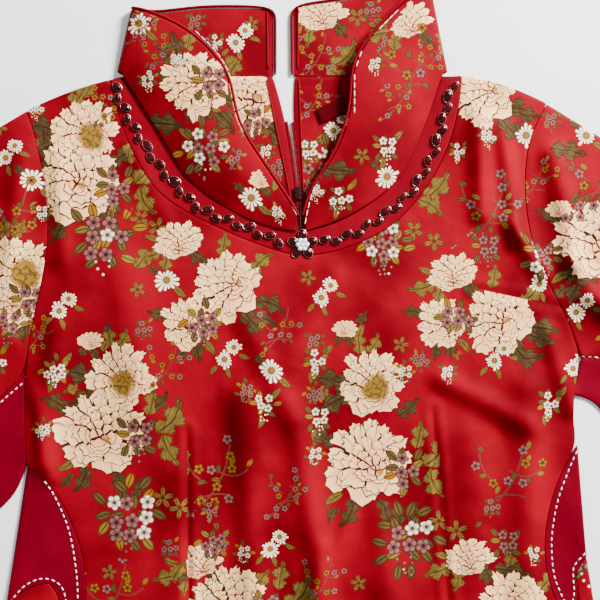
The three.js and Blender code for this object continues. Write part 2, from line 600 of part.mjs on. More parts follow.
/** A bare tab sewn inside the back neck. */
function neckTab() {
  const tab = new THREE.BoxGeometry(30, 12, 1, 4, 2, 1).rotateZ(THREE.MathUtils.degToRad(20));
  add("neck_tab", tab.translate(30, -27, CLOTH + GAP + 0.5), CRIMSON);
}

front();
neckBand();
back();
for (const side of ["left", "right"]) {
  sleeve(side);
  sidePieces(side);
  collar(side);
  add(`stones_${side}`, chainGeometry(CHAINS[side]), GARNET);
}
add("flower", flowerGeometry(), PEARL);
zip();
neckTab();

// The origin is under the middle of the garment, on the ground.
const box = new THREE.Box3().setFromObject(garment);
const middle = box.getCenter(new THREE.Vector3());
garment.position.set(-middle.x, -middle.y, -box.min.z);

export default garment;
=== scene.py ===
"""A flower-print cheongsam laid flat on a pale floor, front up, with its neck towards +Y.

Sizes are in metres unless a name ends in _MM. Tables give places on the garment in millimetres, right of
the centre front and up from the level where neck and shoulder meet; place() turns them into the frame.
"""

import math
import random
from functools import partialmethod

import bmesh
import bpy
import numpy
from mathutils import Matrix, Vector, noise
from mathutils.bvhtree import BVHTree


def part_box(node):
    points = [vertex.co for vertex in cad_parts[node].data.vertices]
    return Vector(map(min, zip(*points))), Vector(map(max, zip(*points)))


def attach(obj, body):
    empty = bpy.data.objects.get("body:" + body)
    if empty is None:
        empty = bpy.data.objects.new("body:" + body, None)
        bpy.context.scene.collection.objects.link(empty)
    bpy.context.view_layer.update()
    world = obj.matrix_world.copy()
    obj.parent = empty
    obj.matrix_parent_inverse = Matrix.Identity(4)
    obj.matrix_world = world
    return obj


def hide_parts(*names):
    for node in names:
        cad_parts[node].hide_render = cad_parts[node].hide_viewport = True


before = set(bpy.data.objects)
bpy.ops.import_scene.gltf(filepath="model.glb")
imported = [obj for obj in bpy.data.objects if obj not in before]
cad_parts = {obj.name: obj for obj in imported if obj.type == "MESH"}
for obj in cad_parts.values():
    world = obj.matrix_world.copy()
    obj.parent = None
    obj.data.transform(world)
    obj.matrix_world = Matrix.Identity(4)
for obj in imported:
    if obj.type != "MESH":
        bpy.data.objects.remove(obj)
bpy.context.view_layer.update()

# ---------------------------------------------------------------- sizes
MM = 0.001
HEM_BELOW_NECK = 0.91985  # from the neck level down to the hem
FLOWER_RIGHT = 0.004  # the stone flower lies this far right of the centre front
LAYER_TOP = 0.0027  # top of the upper layer where nothing lifts it
RANDOM_SEED = 11

flower_low, flower_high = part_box("flower")
NECK_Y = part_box("front")[0][1] + HEM_BELOW_NECK
MIDDLE_X = (flower_low[0] + flower_high[0]) / 2 - FLOWER_RIGHT


def named_rows(columns, rows):
    """A table's rows as dictionaries."""
    return [dict(zip(columns, row)) for row in rows]


def place(x_mm, y_mm):
    """A place on the garment, in metres in the frame."""
    return Vector((MIDDLE_X + x_mm * MM, NECK_Y + y_mm * MM))


# ---------------------------------------------------------------- shader maths
class Socket:
    """A shader value with arithmetic: each operator adds the Math node that works it out."""

    def __init__(self, graph, socket):
        self.graph = graph
        self.socket = socket

    def first(self, operation, *others, **settings):
        return self.graph.node("ShaderNodeMath", {"operation": operation, **settings}, [self, *others])

    def second(self, operation, other):
        return self.graph.node("ShaderNodeMath", {"operation": operation}, [other, self])

    __add__ = __radd__ = partialmethod(first, "ADD")
    __sub__ = partialmethod(first, "SUBTRACT")
    __rsub__ = partialmethod(second, "SUBTRACT")
    __mul__ = __rmul__ = partialmethod(first, "MULTIPLY")
    __truediv__ = partialmethod(first, "DIVIDE")
    __rtruediv__ = partialmethod(second, "DIVIDE")
    __lt__ = partialmethod(first, "LESS_THAN")
    __gt__ = partialmethod(first, "GREATER_THAN")
    floor = partialmethod(first, "FLOOR")
    fract = partialmethod(first, "FRACT")
    abs = partialmethod(first, "ABSOLUTE")
    sin = partialmethod(first, "SINE")
    cos = partialmethod(first, "COSINE")
    sqrt = partialmethod(first, "SQRT")
    max = partialmethod(first, "MAXIMUM")
    min = partialmethod(first, "MINIMUM")
    clamp = partialmethod(first, "ADD", 0.0, use_clamp=True)
    angle_to = partialmethod(first, "ARCTAN2")

    def step(self, low, high):
        """0 below low, 1 above high, smooth between; high may be the lower one."""
        settings = {"interpolation_type": "SMOOTHSTEP"}
        return self.graph.node("ShaderNodeMapRange", settings, [self, low, high, 0.0, 1.0])


class Graph:
    """A material's nodes."""

    def __init__(self, name):
        self.material = bpy.data.materials.new(name)
        self.material.use_nodes = True
        self.tree = self.material.node_tree
        self.shader = self.tree.nodes["Principled BSDF"]

    def node(self, kind, settings=(), values=(), output=0):
        """Adds a node with its settings and its inputs' values or links, and gives one output."""
        made = self.tree.nodes.new(kind)
        for key, value in dict(settings).items():
            setattr(made, key, value)
        inputs = values.items() if isinstance(values, dict) else enumerate(values)
        for key, value in inputs:
            if value is not None:
                self.feed(made.inputs[key], value)
        if output is None:
            return made
        return Socket(self, made.outputs[output])

    def feed(self, target, value):
        if isinstance(value, Socket):
            self.tree.links.new(value.socket, target)
        else:
            target.default_value = value

    def put(self, **values):
        """Sets the shader's inputs; an underscore in a name stands for a space."""
        for key, value in values.items():
            self.feed(self.shader.inputs[key.replace("_", " ")], value)

    def vector(self, x, y, z=0.0):
        return self.node("ShaderNodeCombineXYZ", {}, [x, y, z])

    def split(self, vector):
        made = self.node("ShaderNodeSeparateXYZ", {}, [vector], None)
        return [Socket(self, output) for output in made.outputs]

    def mix(self, factor, first, second):
        made = self.node("ShaderNodeMix", {"data_type": "RGBA"}, {}, None)
        self.feed(made.inputs["Factor"], factor)
        for key, value in ((6, first), (7, second)):
            self.feed(made.inputs[key], value if isinstance(value, Socket) else (*value, 1.0))
        return Socket(self, made.outputs[2])

    def object_place(self):
        return self.node("ShaderNodeTexCoord", {}, {}, "Object")

    def choose(self, mask, off, on):
        """One number where a mask is 0, another where it is 1."""
        return self.node("ShaderNodeMix", {"data_type": "FLOAT"}, {0: mask, 2: off, 3: on})

    def noise(self, vector, scale, detail=2.0, rough=0.5):
        values = {"Vector": vector, "Scale": scale, "Detail": detail, "Roughness": rough}
        return self.node("ShaderNodeTexNoise", {}, values, "Fac")

    def bump(self, height, strength, distance, normal=None):
        values = {"Height": height, "Strength": strength, "Distance": distance, "Normal": normal}
        return self.node("ShaderNodeBump", {}, values, "Normal")


def linear(red, green, blue):
    """A colour given as it shows on a screen, 0 to 255, as the shader wants it."""
    def one(value):
        value /= 255
        return value / 12.92 if value <= 0.04045 else ((value + 0.055) / 1.055) ** 2.4
    return (one(red), one(green), one(blue))


# ---------------------------------------------------------------- colours
PRINT_RED = linear(128, 0, 20)
# PRINT_RED_DEEP: the darker red of the painted fold shade on the print's ground, and of its slubbed threads
PRINT_RED_DEEP = linear(92, 0, 12)
PLAIN_RED = linear(114, 0, 20)
PLAIN_RED_DEEP = linear(96, 0, 14)
CRIMSON = linear(108, 0, 24)
CRIMSON_DEEP = linear(86, 0, 15)
WINE_RED = linear(72, 0, 8)
WINE_RED_DEEP = linear(55, 0, 5)
CREAM = linear(255, 218, 148)
BLUSH = linear(238, 158, 116)
INK = linear(38, 16, 8)
BARK = linear(96, 46, 37)
GOLD = linear(120, 98, 36)
OLIVE = linear(80, 68, 33)
DARK_OLIVE = linear(50, 43, 26)
AMBER = linear(138, 94, 22)
MAUVE = linear(132, 88, 84)
WHITE = linear(255, 238, 200)
WINE = linear(64, 20, 20)

# ---------------------------------------------------------------- cloth finish
TAU = 2 * math.pi


def weave(graph, coordinates, thread=0.00042):
    """Fine plain weave: a height from 0 to 1 for the bump."""
    x, y, _ = graph.split(coordinates)
    over = (x * (TAU / thread)).sin() * (y * (TAU / thread)).sin()
    return over * 0.5 + 0.5


def cloth_surface(graph, coordinates, roughness):
    """Weave, small creases and uneven sheen, shared by every cotton; gives the threads' unevenness."""
    crease = graph.noise(coordinates, 38.0, 3.0, 0.55)
    drawn_out = graph.node("ShaderNodeMapping", {}, {"Vector": coordinates, "Scale": (1.0, 0.12, 1.0)})
    slub = graph.noise(drawn_out, 900.0, 2.0)
    rippled = graph.bump(crease, 0.5, 0.0016)
    woven = graph.bump(weave(graph, coordinates) * 0.7 + slub * 0.3, 0.25, 0.00012, rippled)
    graph.put(Roughness=roughness + (slub - 0.5) * 0.16, Normal=woven)
    graph.put(Sheen_Weight=0.04, Sheen_Roughness=0.4, Specular_IOR_Level=0.07)
    graph.put(Sheen_Tint=(1.0, 0.10, 0.12, 1.0), Specular_Tint=(1.0, 0.25, 0.28, 1.0))
    return slub


def mottled(name, scale, detail, deep, colour, low=0.3, high=0.7):
    """A material whose colour wanders between two: its graph, and the noise that it follows."""
    graph = Graph(name)
    cloud = graph.noise(graph.object_place(), scale, detail)
    graph.put(Base_Color=graph.mix(cloud.step(low, high), deep, colour))
    return graph, cloud


def plain_cloth(name, colour, deep, roughness=0.62):
    graph, _ = mottled(name, 9.0, 3.0, deep, colour, high=0.72)
    cloth_surface(graph, graph.object_place(), roughness)
    return graph.material


# The print is drawn in three layers: big blooms, leaves, and sprays of small blossom. Each face of a
# printed piece carries, for each layer, its place on the nearest motif in that motif's own size, plus
# CELL times the motif's kind (along U) and its seed (along V).
CELL = 8.0
CELL_INSIDE = CELL / 2 - 0.05
BLOOM, LEAF, SPRAY = "bloom", "leaf", "spray"
# A motif is named by its layer and its kind there.
PEONY, GOLD_PEONY, FAN_PEONY, DAISY = ((BLOOM, kind) for kind in range(4))
DARK_LEAF, GOLD_LEAF, STAR_LEAF, OLIVE_LEAF = ((LEAF, kind) for kind in range(4))
MAUVE_SPRAY, MIXED_SPRAY, WHITE_SPRAY, TWIG = ((SPRAY, kind) for kind in range(4))


def motif_place(graph, layer):
    """(x, y) on the nearest motif, its kind and its seed."""
    u, v, _ = graph.split(graph.node("ShaderNodeUVMap", {"uv_map": layer}))
    kind = ((u + CELL / 2) / CELL).floor()
    seed = ((v + CELL / 2) / CELL).floor()
    return u - kind * CELL, v - seed * CELL, kind, seed


def is_kind(kind, motif):
    return (kind - motif[1]).abs() < 0.5


def warped(graph, x, y, seed, scale, amount):
    """x and y pushed about by smooth noise."""
    at = graph.vector(x * scale + seed * 3.7, y * scale - seed * 1.9)
    made = graph.node("ShaderNodeTexNoise", {"noise_dimensions": "2D"},
                      {"Vector": at, "Scale": 1.0, "Detail": 1.0}, None)
    red, green, _ = graph.split(Socket(graph, made.outputs["Color"]))
    return x + (red - 0.5) * amount, y + (green - 0.5) * amount


def polar(x, y):
    """(radius, angle) of a place."""
    radius = (x * x + y * y).sqrt()
    return radius, y.angle_to(x)


def chance(graph, *seeds):
    """A steady random number from 0 to 1 for up to three numbers."""
    vector = graph.vector(*seeds)
    return graph.node("ShaderNodeTexWhiteNoise", {"noise_dimensions": "3D"}, {"Vector": vector}, "Value")


RINGS = [  # from the outer petals to the heart
    {"petals": 10, "reach": 1.00, "phase": 0.13},
    {"petals": 9, "reach": 0.83, "phase": 0.61},
    {"petals": 8, "reach": 0.66, "phase": 0.27},
    {"petals": 7, "reach": 0.50, "phase": 0.83},
    {"petals": 6, "reach": 0.35, "phase": 0.42},
    {"petals": 4, "reach": 0.20, "phase": 0.05},
]
LINE = 0.025  # half width of a drawn line, as a share of a peony's radius
CROWDING = 0.5  # how much narrower the upper petals are than the lower ones
FAN_SQUASH = 0.45  # how much flatter a peony seen from the side is
DAISY_PETALS = 14.0


def peony_print(graph, x, y, kind, seed):
    """(colour, mask) of a ruffled peony, ring over ring, with a drawn line round every petal."""
    fan = is_kind(kind, FAN_PEONY)
    y = y * (fan * FAN_SQUASH + 1.0)
    x, y = warped(graph, x, y, seed, 1.7, 0.26)
    x, y = warped(graph, x, y, seed, 7.0, 0.05)
    lean_x = (chance(graph, seed, 1.0, 2.0) - 0.5) * 0.30
    lean_y = fan * -FAN_SQUASH - 0.12
    colour = None
    mask = None
    for number, ring in enumerate(RINGS):
        count = ring["petals"]
        share = number / (len(RINGS) - 1)
        radius, angle = polar(x - lean_x * share, y - lean_y * share)
        turns = (angle - angle.cos() * CROWDING) * (count / TAU) + (seed * 0.37 + ring["phase"])
        petal = turns.floor()
        across = turns - petal - 0.5
        which = ((petal / count).fract() * count + 0.5).floor()
        lot = chance(graph, which, seed, float(number))
        scallop = (across * 12.6 + lot * 3.0).sin().abs() * 0.06
        reach = (lot * 0.22 + 0.86) * (1.0 - across * across * 0.8 - scallop) * ring["reach"]
        inside = (reach - radius).step(-0.006, 0.006)
        breadth = radius * (TAU / count) / (angle.sin() * CROWDING + 1.0)
        spoke = (0.5 - across.abs()) * breadth
        line = (reach - radius).abs().min(spoke).step(LINE * 1.2, LINE * 0.6)
        depth = (radius / reach).clamp()
        crease = (across + (lot - 0.5) * 0.3).abs() * breadth
        crease_line = crease.step(LINE, LINE * 0.3) * depth.step(0.62 + 0.2 * share, 0.98) * (lot > 0.45)
        petal_colour = graph.mix((depth.step(0.62, 1.0) * 0.85 + lot * 0.15).clamp(), BLUSH, CREAM)
        petal_colour = graph.mix((1.0 - angle.sin()) * 0.22 * (1.0 - share), petal_colour, BLUSH)
        drawn = graph.mix(line.max(crease_line * 0.8), petal_colour, INK)
        colour = drawn if colour is None else graph.mix(inside, colour, drawn)
        mask = inside if mask is None else mask.max(inside)
    heart, _ = polar(x - lean_x - 0.12, y - lean_y + 0.02)
    gold = is_kind(kind, GOLD_PEONY)
    seeds = graph.node("ShaderNodeTexVoronoi", {"voronoi_dimensions": "2D"},
                       {"Vector": graph.vector(x, y), "Scale": 11.0}, "Distance")
    glow = heart.step(0.34, 0.27) * gold
    colour = graph.mix(glow * 0.92, colour, GOLD)
    colour = graph.mix(seeds.step(0.42, 0.30) * heart.step(0.42, 0.34) * gold, colour, AMBER)
    colour = graph.mix(seeds.step(0.40, 0.52) * heart.step(0.42, 0.34) * gold * 0.6, colour, INK)
    colour = graph.mix(heart.step(0.12, 0.04) * (1.0 - gold) * 0.8, colour, AMBER)
    return colour, mask


def daisy_print(graph, x, y, seed):
    """(colour, mask) of a small flower with many narrow petals."""
    radius, angle = polar(x, y)
    turns = angle * (DAISY_PETALS / TAU) + seed * 0.31
    petal = turns.floor()
    across = (turns - petal - 0.5).abs()
    which = ((petal / DAISY_PETALS).fract() * DAISY_PETALS + 0.5).floor()
    reach = chance(graph, which, seed, 7.0) * 0.42 + 0.66 - across * across * 0.9
    rays = (reach - radius).step(0.0, 0.04) * (across + radius * 0.10).step(0.46, 0.34)
    mask = rays.max(radius.step(0.42, 0.34))
    colour = graph.mix(radius.step(0.42, 0.22), WHITE, OLIVE)
    colour = graph.mix(across.step(0.26, 0.46) * 0.8, colour, INK)
    return graph.mix(radius.step(0.24, 0.14), colour, AMBER), mask


def leaf_print(graph, x, y, kind, seed):
    """(colour, mask) of a leaf along X, or of a star of five small leaves."""
    bent = y + (x * x - 0.4) * (chance(graph, seed, 5.0, 1.0) - 0.5) * 0.8
    lobed = is_kind(kind, GOLD_LEAF).max(is_kind(kind, DARK_LEAF))
    lobes = ((x * 4.1 + 0.9).sin().abs() * 0.75 + 0.42) * lobed
    body = lobes + is_kind(kind, OLIVE_LEAF) * 0.72
    taper = (1.0 - x * x).clamp()
    jagged = ((x * 6.0 + seed * 0.3).fract() - 0.5) * 0.13 * lobed
    width = (taper * (1.0 - x * 0.30) * 0.52 * body + jagged * taper)
    edge = width - bent.abs()
    blade = edge.step(0.0, 0.02) * (x.abs() < 0.98)
    rib = bent.abs().step(0.045, 0.02)
    veins = (((x - bent.abs() * 1.3) * 4.4).fract() - 0.5).abs().step(0.10, 0.03) * 0.5
    line = edge.step(0.10, 0.045).max(rib).max(veins)
    radius, angle = polar(x, y)
    ray = (angle * 2.5 + seed * 0.7).cos().abs()
    star_edge = ray * 1.05 - 0.08 - radius
    star = is_kind(kind, STAR_LEAF)
    mask = graph.choose(star, blade, star_edge.step(0.0, 0.03))
    star_line = star_edge.step(0.14, 0.07).max(ray.step(0.985, 0.998)).max(radius.step(0.24, 0.14))
    line = graph.choose(star, line, star_line)
    light = graph.noise(graph.vector(x * 1.2, y * 5.0 + seed), 1.8, 2.0)
    dark_tone = graph.mix(light.step(0.4, 0.7) * 0.8, DARK_OLIVE, OLIVE)
    gold_tone = graph.mix(light.step(0.35, 0.7), OLIVE, GOLD)
    tone = graph.mix(is_kind(kind, DARK_LEAF), gold_tone, dark_tone)
    return graph.mix(line * 0.8, tone, INK), mask


def stroke(x, y, start, end, bend):
    """Distance from a slightly bent stroke."""
    (x1, y1), (x2, y2) = start, end
    length2 = (x2 - x1) ** 2 + (y2 - y1) ** 2
    along = (((x - x1) * (x2 - x1) + (y - y1) * (y2 - y1)) / length2).clamp()
    bow = along * (1.0 - along) * (4.0 * bend)
    away_x = x - x1 - along * (x2 - x1) - bow * (y2 - y1)
    away_y = y - y1 - along * (y2 - y1) + bow * (x2 - x1)
    return (away_x * away_x + away_y * away_y).sqrt()


TWIG_STROKES = [  # in the spray's own size
    {"start": (-0.9, -1.2), "end": (0.5, 1.1), "bend": 0.12},
    {"start": (-0.25, -0.1), "end": (-0.85, 0.85), "bend": -0.15},
    {"start": (0.1, 0.3), "end": (1.05, 0.35), "bend": 0.2},
    {"start": (-0.6, -0.7), "end": (0.55, -0.5), "bend": -0.12},
]
BLOSSOM_CELLS = 2.05  # small blossoms across one spray radius
BLOSSOM_SIZE = 0.262
SPRIG_CELLS = 2.1
SPRIG_SIZE = 0.31
BERRY_CELLS = 5.0
BERRIES_TO_RADIUS = 15.0


def twig_distance(x, y):
    distance = None
    for row in TWIG_STROKES:
        away = stroke(x, y, row["start"], row["end"], row["bend"])
        distance = away if distance is None else distance.min(away)
    return distance


def scattered(graph, x, y, seed, cells, spread):
    """Nearest point of a jittered lattice: (its x, its y, two lots)."""
    made = graph.node("ShaderNodeTexVoronoi", {"voronoi_dimensions": "2D"}, {
        "Vector": graph.vector(x * cells + seed * 5.3, y * cells - seed * 3.1),
        "Scale": 1.0, "Randomness": spread}, None)
    point_x, point_y, _ = graph.split(Socket(graph, made.outputs["Position"]))
    lot, other, _ = graph.split(Socket(graph, made.outputs["Color"]))
    return (point_x - seed * 5.3) / cells, (point_y + seed * 3.1) / cells, lot, other


def spray_print(graph, x, y, kind, seed):
    """(colour, mask) of a spray: small five-petalled blossoms, little leaves, or a twig with buds."""
    twig = is_kind(kind, TWIG)
    mixed = is_kind(kind, MIXED_SPRAY)
    size = mixed * 0.25 + 0.66 + twig * 0.6

    leaf_x, leaf_y, leaf_lot, leaf_tone = scattered(graph, x, y, seed + 3.0, SPRIG_CELLS, 0.5)
    leaf_far, leaf_angle = polar(leaf_x, leaf_y)
    turn = leaf_angle + (leaf_lot - 0.5) * 1.1
    away_x, away_y = x - leaf_x, y - leaf_y
    leaf_size = (1.0 - twig * 0.45) * SPRIG_SIZE
    along = (away_x * turn.cos() + away_y * turn.sin()) / leaf_size
    across = (away_y * turn.cos() - away_x * turn.sin()) / leaf_size
    blade = (1.0 - along * along) * 0.50 - across.abs()
    near_twig = twig_distance(leaf_x, leaf_y) < 0.26
    has_leaf = (leaf_far < size * 1.24) * (leaf_far > size * 0.15)
    has_leaf = has_leaf * (1.0 - twig) + near_twig * twig * (leaf_lot > 0.3)
    leaf_mask = blade.step(0.0, 0.05) * has_leaf
    leaf_line = blade.step(0.20, 0.09).max(across.abs().step(0.08, 0.035))
    tone = graph.mix(leaf_tone.step(0.62, 0.64), OLIVE, GOLD)
    tone = graph.mix(leaf_tone.step(0.86, 0.88), tone, AMBER)
    leaf_colour = graph.mix(leaf_line * 0.85, tone, INK)

    stem = twig_distance(x, y).step(0.034, 0.020) * twig

    flower_x, flower_y, lot, other = scattered(graph, x, y, seed, BLOSSOM_CELLS, 0.42)
    flower_far, _ = polar(flower_x, flower_y)
    flower_size = (1.0 - twig * 0.35) * BLOSSOM_SIZE
    radius, angle = polar((x - flower_x) / flower_size, (y - flower_y) / flower_size)
    ray = (angle * 2.5 + lot * TAU).cos().abs()
    edge = ray * 0.30 + 0.70 - radius
    has_flower = (flower_far < size * 0.86) * (1.0 - twig)
    has_flower = has_flower.max(twig * (twig_distance(flower_x, flower_y) < 0.24) * (other > 0.2))
    flower_mask = edge.step(0.0, 0.06) * has_flower
    whiteness = ((other > 0.60) * mixed).max(is_kind(kind, WHITE_SPRAY))
    petal = graph.mix(whiteness, MAUVE, WHITE)
    petal = graph.mix(twig * (lot > 0.45), petal, AMBER)
    petal = graph.mix(radius.step(0.85, 0.25) * 0.55, petal, WINE)
    flower_line = edge.step(0.22, 0.11).max(ray.step(0.30, 0.12) * radius.step(0.2, 0.4))
    flower_colour = graph.mix(flower_line.max(radius.step(0.30, 0.2)) * 0.9, petal, INK)

    berry_x, berry_y, berry_lot, _ = scattered(graph, x, y, seed + 6.0, BERRY_CELLS, 0.8)
    berry, _ = polar((x - berry_x) * BERRIES_TO_RADIUS, (y - berry_y) * BERRIES_TO_RADIUS)
    below, _ = polar(berry_x * 1.3, berry_y + size * 0.9)
    berry_mask = berry.step(1.05, 0.85) * (below < 0.45) * (berry_lot > 0.25) * (1.0 - twig)
    berry_colour = graph.mix(berry.step(0.5, 0.8), petal, INK)

    colour = graph.mix(leaf_mask, BARK, leaf_colour)
    colour = graph.mix(berry_mask, colour, berry_colour)
    colour = graph.mix(flower_mask, colour, flower_colour)
    return colour, stem.max(leaf_mask).max(berry_mask).max(flower_mask)


def printed_cloth():
    """Red cotton printed with peonies, leaves and small blossom, on a red ground with painted soft fold
    shade.
    """
    graph = Graph("printed cotton")
    coordinates = graph.object_place()
    slub = cloth_surface(graph, coordinates, 0.6)
    # painted shade: broad darker patches on the red ground stand in for the shading of soft folds
    painted_fold_shade = graph.noise(coordinates, 13.0, 3.0)
    ground = graph.mix(painted_fold_shade.step(0.36, 0.62), PRINT_RED_DEEP, PRINT_RED)

    leaf_colour, leaf_mask = leaf_print(graph, *motif_place(graph, LEAF))
    x, y, kind, seed = motif_place(graph, BLOOM)
    peony_colour, peony_mask = peony_print(graph, x, y, kind, seed)
    daisy_colour, daisy_mask = daisy_print(graph, x, y, seed)
    daisy = is_kind(kind, DAISY)
    bloom_colour = graph.mix(daisy, peony_colour, daisy_colour)
    bloom_mask = graph.choose(daisy, peony_mask, daisy_mask)
    spray_colour, spray_mask = spray_print(graph, *motif_place(graph, SPRAY))

    colour = graph.mix(leaf_mask, ground, leaf_colour)
    colour = graph.mix(bloom_mask, colour, bloom_colour)
    colour = graph.mix(spray_mask, colour, spray_colour)
    graph.put(Base_Color=graph.mix(slub.step(0.2, 0.6) * 0.05, colour, PRINT_RED_DEEP))
    return graph.material


def thread_finish(name, dark, light):
    graph, twist = mottled(name, 2400.0, 2.0, dark, light)
    graph.put(Roughness=twist * 0.2 + 0.6, Normal=graph.bump(twist, 0.5, 0.0002))
    return graph.material


def stone_finish(name, colour, deep, polish):
    graph, cloud = mottled(name, 260.0, 3.0, deep, colour, low=0.35)
    graph.put(Roughness=cloud * 0.10 + 0.16, Specular_IOR_Level=polish)
    graph.put(Coat_Weight=polish, Coat_Roughness=0.05)
    return graph.material


def metal_finish(name, colour, worn):
    graph, wear = mottled(name, 700.0, 3.0, worn, colour, low=0.35)
    graph.put(Roughness=wear * 0.25 + 0.22, Metallic=1.0)
    return graph.material


ZIP_PITCH = 0.0016


def zip_finish():
    graph = Graph("zip tape")
    coordinates = graph.object_place()
    wear = graph.noise(coordinates, 900.0, 2.0)
    _, y, _ = graph.split(coordinates)
    tooth = ((y / ZIP_PITCH).fract() - 0.5).abs().step(0.2, 0.3)
    dark = graph.mix(tooth, linear(78, 0, 10), linear(112, 0, 17))
    graph.put(Base_Color=graph.mix(wear.step(0.3, 0.7) * 0.4, dark, linear(90, 0, 14)))
    graph.put(Roughness=wear * 0.2 + 0.6, Normal=graph.bump(tooth, 0.4, 0.0003), Specular_IOR_Level=0.1)
    return graph.material


def floor_finish():
    graph, grain = mottled("pale floor", 14.0, 3.0, linear(244, 244, 243), linear(250, 250, 248))
    graph.put(Roughness=grain * 0.1 + 0.5)
    return graph.material


PRINTED = printed_cloth()
PLAIN = plain_cloth("plain red cotton", PLAIN_RED, PLAIN_RED_DEEP)
CRIMSON_CLOTH = plain_cloth("crimson cotton", CRIMSON, CRIMSON_DEEP, 0.55)
WINE_CLOTH = plain_cloth("dark red tab", WINE_RED, WINE_RED_DEEP)
CREAM_THREAD = thread_finish("cream edge", linear(244, 214, 180), linear(250, 230, 204))
THREAD = thread_finish("white thread", linear(226, 214, 208), linear(252, 246, 242))
GARNET = stone_finish("garnet", linear(66, 0, 12), linear(32, 0, 5), 0.12)
PEARL = stone_finish("clear stone", linear(248, 250, 250), linear(214, 222, 224), 0.7)
RIM = metal_finish("copper rim", linear(214, 160, 140), linear(120, 70, 56))
SILVER = metal_finish("silver setting", linear(220, 220, 222), linear(150, 150, 152))
DARK_METAL = metal_finish("dark zip metal", linear(84, 52, 54), linear(54, 28, 30))
ZIP = zip_finish()

# ---------------------------------------------------------------- where the print's motifs lie
# Groups of motifs, each row a motif: its name, how far right and up of the group's middle (mm), its
# size (mm: a bloom's or spray's radius, half a leaf's length) and its turn in degrees.
GROUPS = {
    "great peony": [
        (PEONY, 0, 0, 35, 0), (MAUVE_SPRAY, 27, -5, 20, 0),
        (GOLD_LEAF, 52, 10, 17, 55), (GOLD_LEAF, 51, -15, 14, -62),
        (GOLD_LEAF, 38, 22, 12, 80), (OLIVE_LEAF, -26, -26, 9, -150),
        (DARK_LEAF, -15, -37, 12, -115), (DARK_LEAF, -26, -37, 8, -130),
        (DARK_LEAF, 12, -36, 11, -75), (DARK_LEAF, -34, 20, 12, 150),
    ],
    "gold peony": [
        (GOLD_PEONY, 0, 0, 27, 0), (DARK_LEAF, -30, 2, 15, 165), (DARK_LEAF, -27, -14, 15, -150),
        (DARK_LEAF, 28, -18, 11, 40), (GOLD_LEAF, -9, 31, 10, 95), (GOLD_LEAF, 2, 30, 9, 60),
        (GOLD_LEAF, -36, -8, 8, 200),
    ],
    "hanging cluster": [
        (MIXED_SPRAY, 0, 0, 24, 0), (DARK_LEAF, -6, 18, 10, 105), (DARK_LEAF, 6, 19, 9, 70),
        (STAR_LEAF, 25, 12, 9, 0), (STAR_LEAF, 38, 5, 9, 30),
    ],
    "lone peony": [
        (PEONY, 0, 0, 28, 60), (DARK_LEAF, 20, -26, 15, -40), (DARK_LEAF, 31, -14, 13, -20),
        (GOLD_LEAF, 25, 18, 12, 45), (GOLD_LEAF, -4, 32, 10, 80), (DARK_LEAF, -22, 22, 9, 130),
    ],
    "small peony": [
        (PEONY, 0, 0, 21, 20), (MAUVE_SPRAY, 12, 2, 18, 0), (DARK_LEAF, 8, -19, 10, -80),
        (DARK_LEAF, -21, 8, 9, 170), (OLIVE_LEAF, 17, -17, 8, -50), (DARK_LEAF, -3, -21, 8, -110),
    ],
    "side peony": [
        (FAN_PEONY, 0, 0, 21, 8), (GOLD_LEAF, -23, -11, 12, 195), (GOLD_LEAF, -9, -17, 10, -100),
        (DARK_LEAF, 14, -12, 10, -50), (OLIVE_LEAF, -20, 1, 7, 160),
    ],
    "bud": [
        (FAN_PEONY, 0, 0, 10.5, 0), (OLIVE_LEAF, 11, -2, 8, 70), (DARK_LEAF, 3, -9, 7, -50),
        (DARK_LEAF, 12, 8, 7, 50), (DARK_LEAF, -5, -8, 6, -120),
    ],
    "daisies": [
        (DAISY, 0, 0, 7.5, 0), (DAISY, 7, 9, 6.5, 30), (OLIVE_LEAF, 15, 2, 5, -20),
        (OLIVE_LEAF, -8, -8, 5, -130), (OLIVE_LEAF, 3, -10, 5, -70),
    ],
    "daisy": [
        (DAISY, 0, 0, 9.5, 0), (OLIVE_LEAF, 10, -9, 7, -40), (DARK_LEAF, -9, 8, 6, 140),
    ],
    "white": [(WHITE_SPRAY, 0, 0, 13, 0), (OLIVE_LEAF, 9, 9, 6, 50), (OLIVE_LEAF, -3, -12, 6, -100)],
    "few white": [(WHITE_SPRAY, 0, 0, 9, 0)],
    "mixed": [(MIXED_SPRAY, 0, 0, 19, 0), (OLIVE_LEAF, -16, 12, 7, 140)],
    "mauve": [(MAUVE_SPRAY, 0, 0, 15, 0)],
    "few mauve": [(MAUVE_SPRAY, 0, 0, 9.5, 0)],
    "twig": [(TWIG, 0, 0, 24, 0)],
    "small twig": [(TWIG, 0, 0, 15, 0)],
    "stars": [(STAR_LEAF, 0, 0, 8.5, 0), (STAR_LEAF, 15, -8, 8.5, 25)],
    "star": [(STAR_LEAF, 0, 0, 7, 10)],
    "gold leaves": [(GOLD_LEAF, 0, 0, 15, 48), (GOLD_LEAF, -5, -15, 12, -35)],
    "gold leaf": [(GOLD_LEAF, 0, 0, 12, 60)],
    "dark leaves": [(DARK_LEAF, 0, 0, 14, -18), (DARK_LEAF, -15, -1, 9, -75)],
    "dark leaf": [(DARK_LEAF, 0, 0, 15, -8)],
    "upright leaf": [(DARK_LEAF, 0, 0, 14, 98)],
}

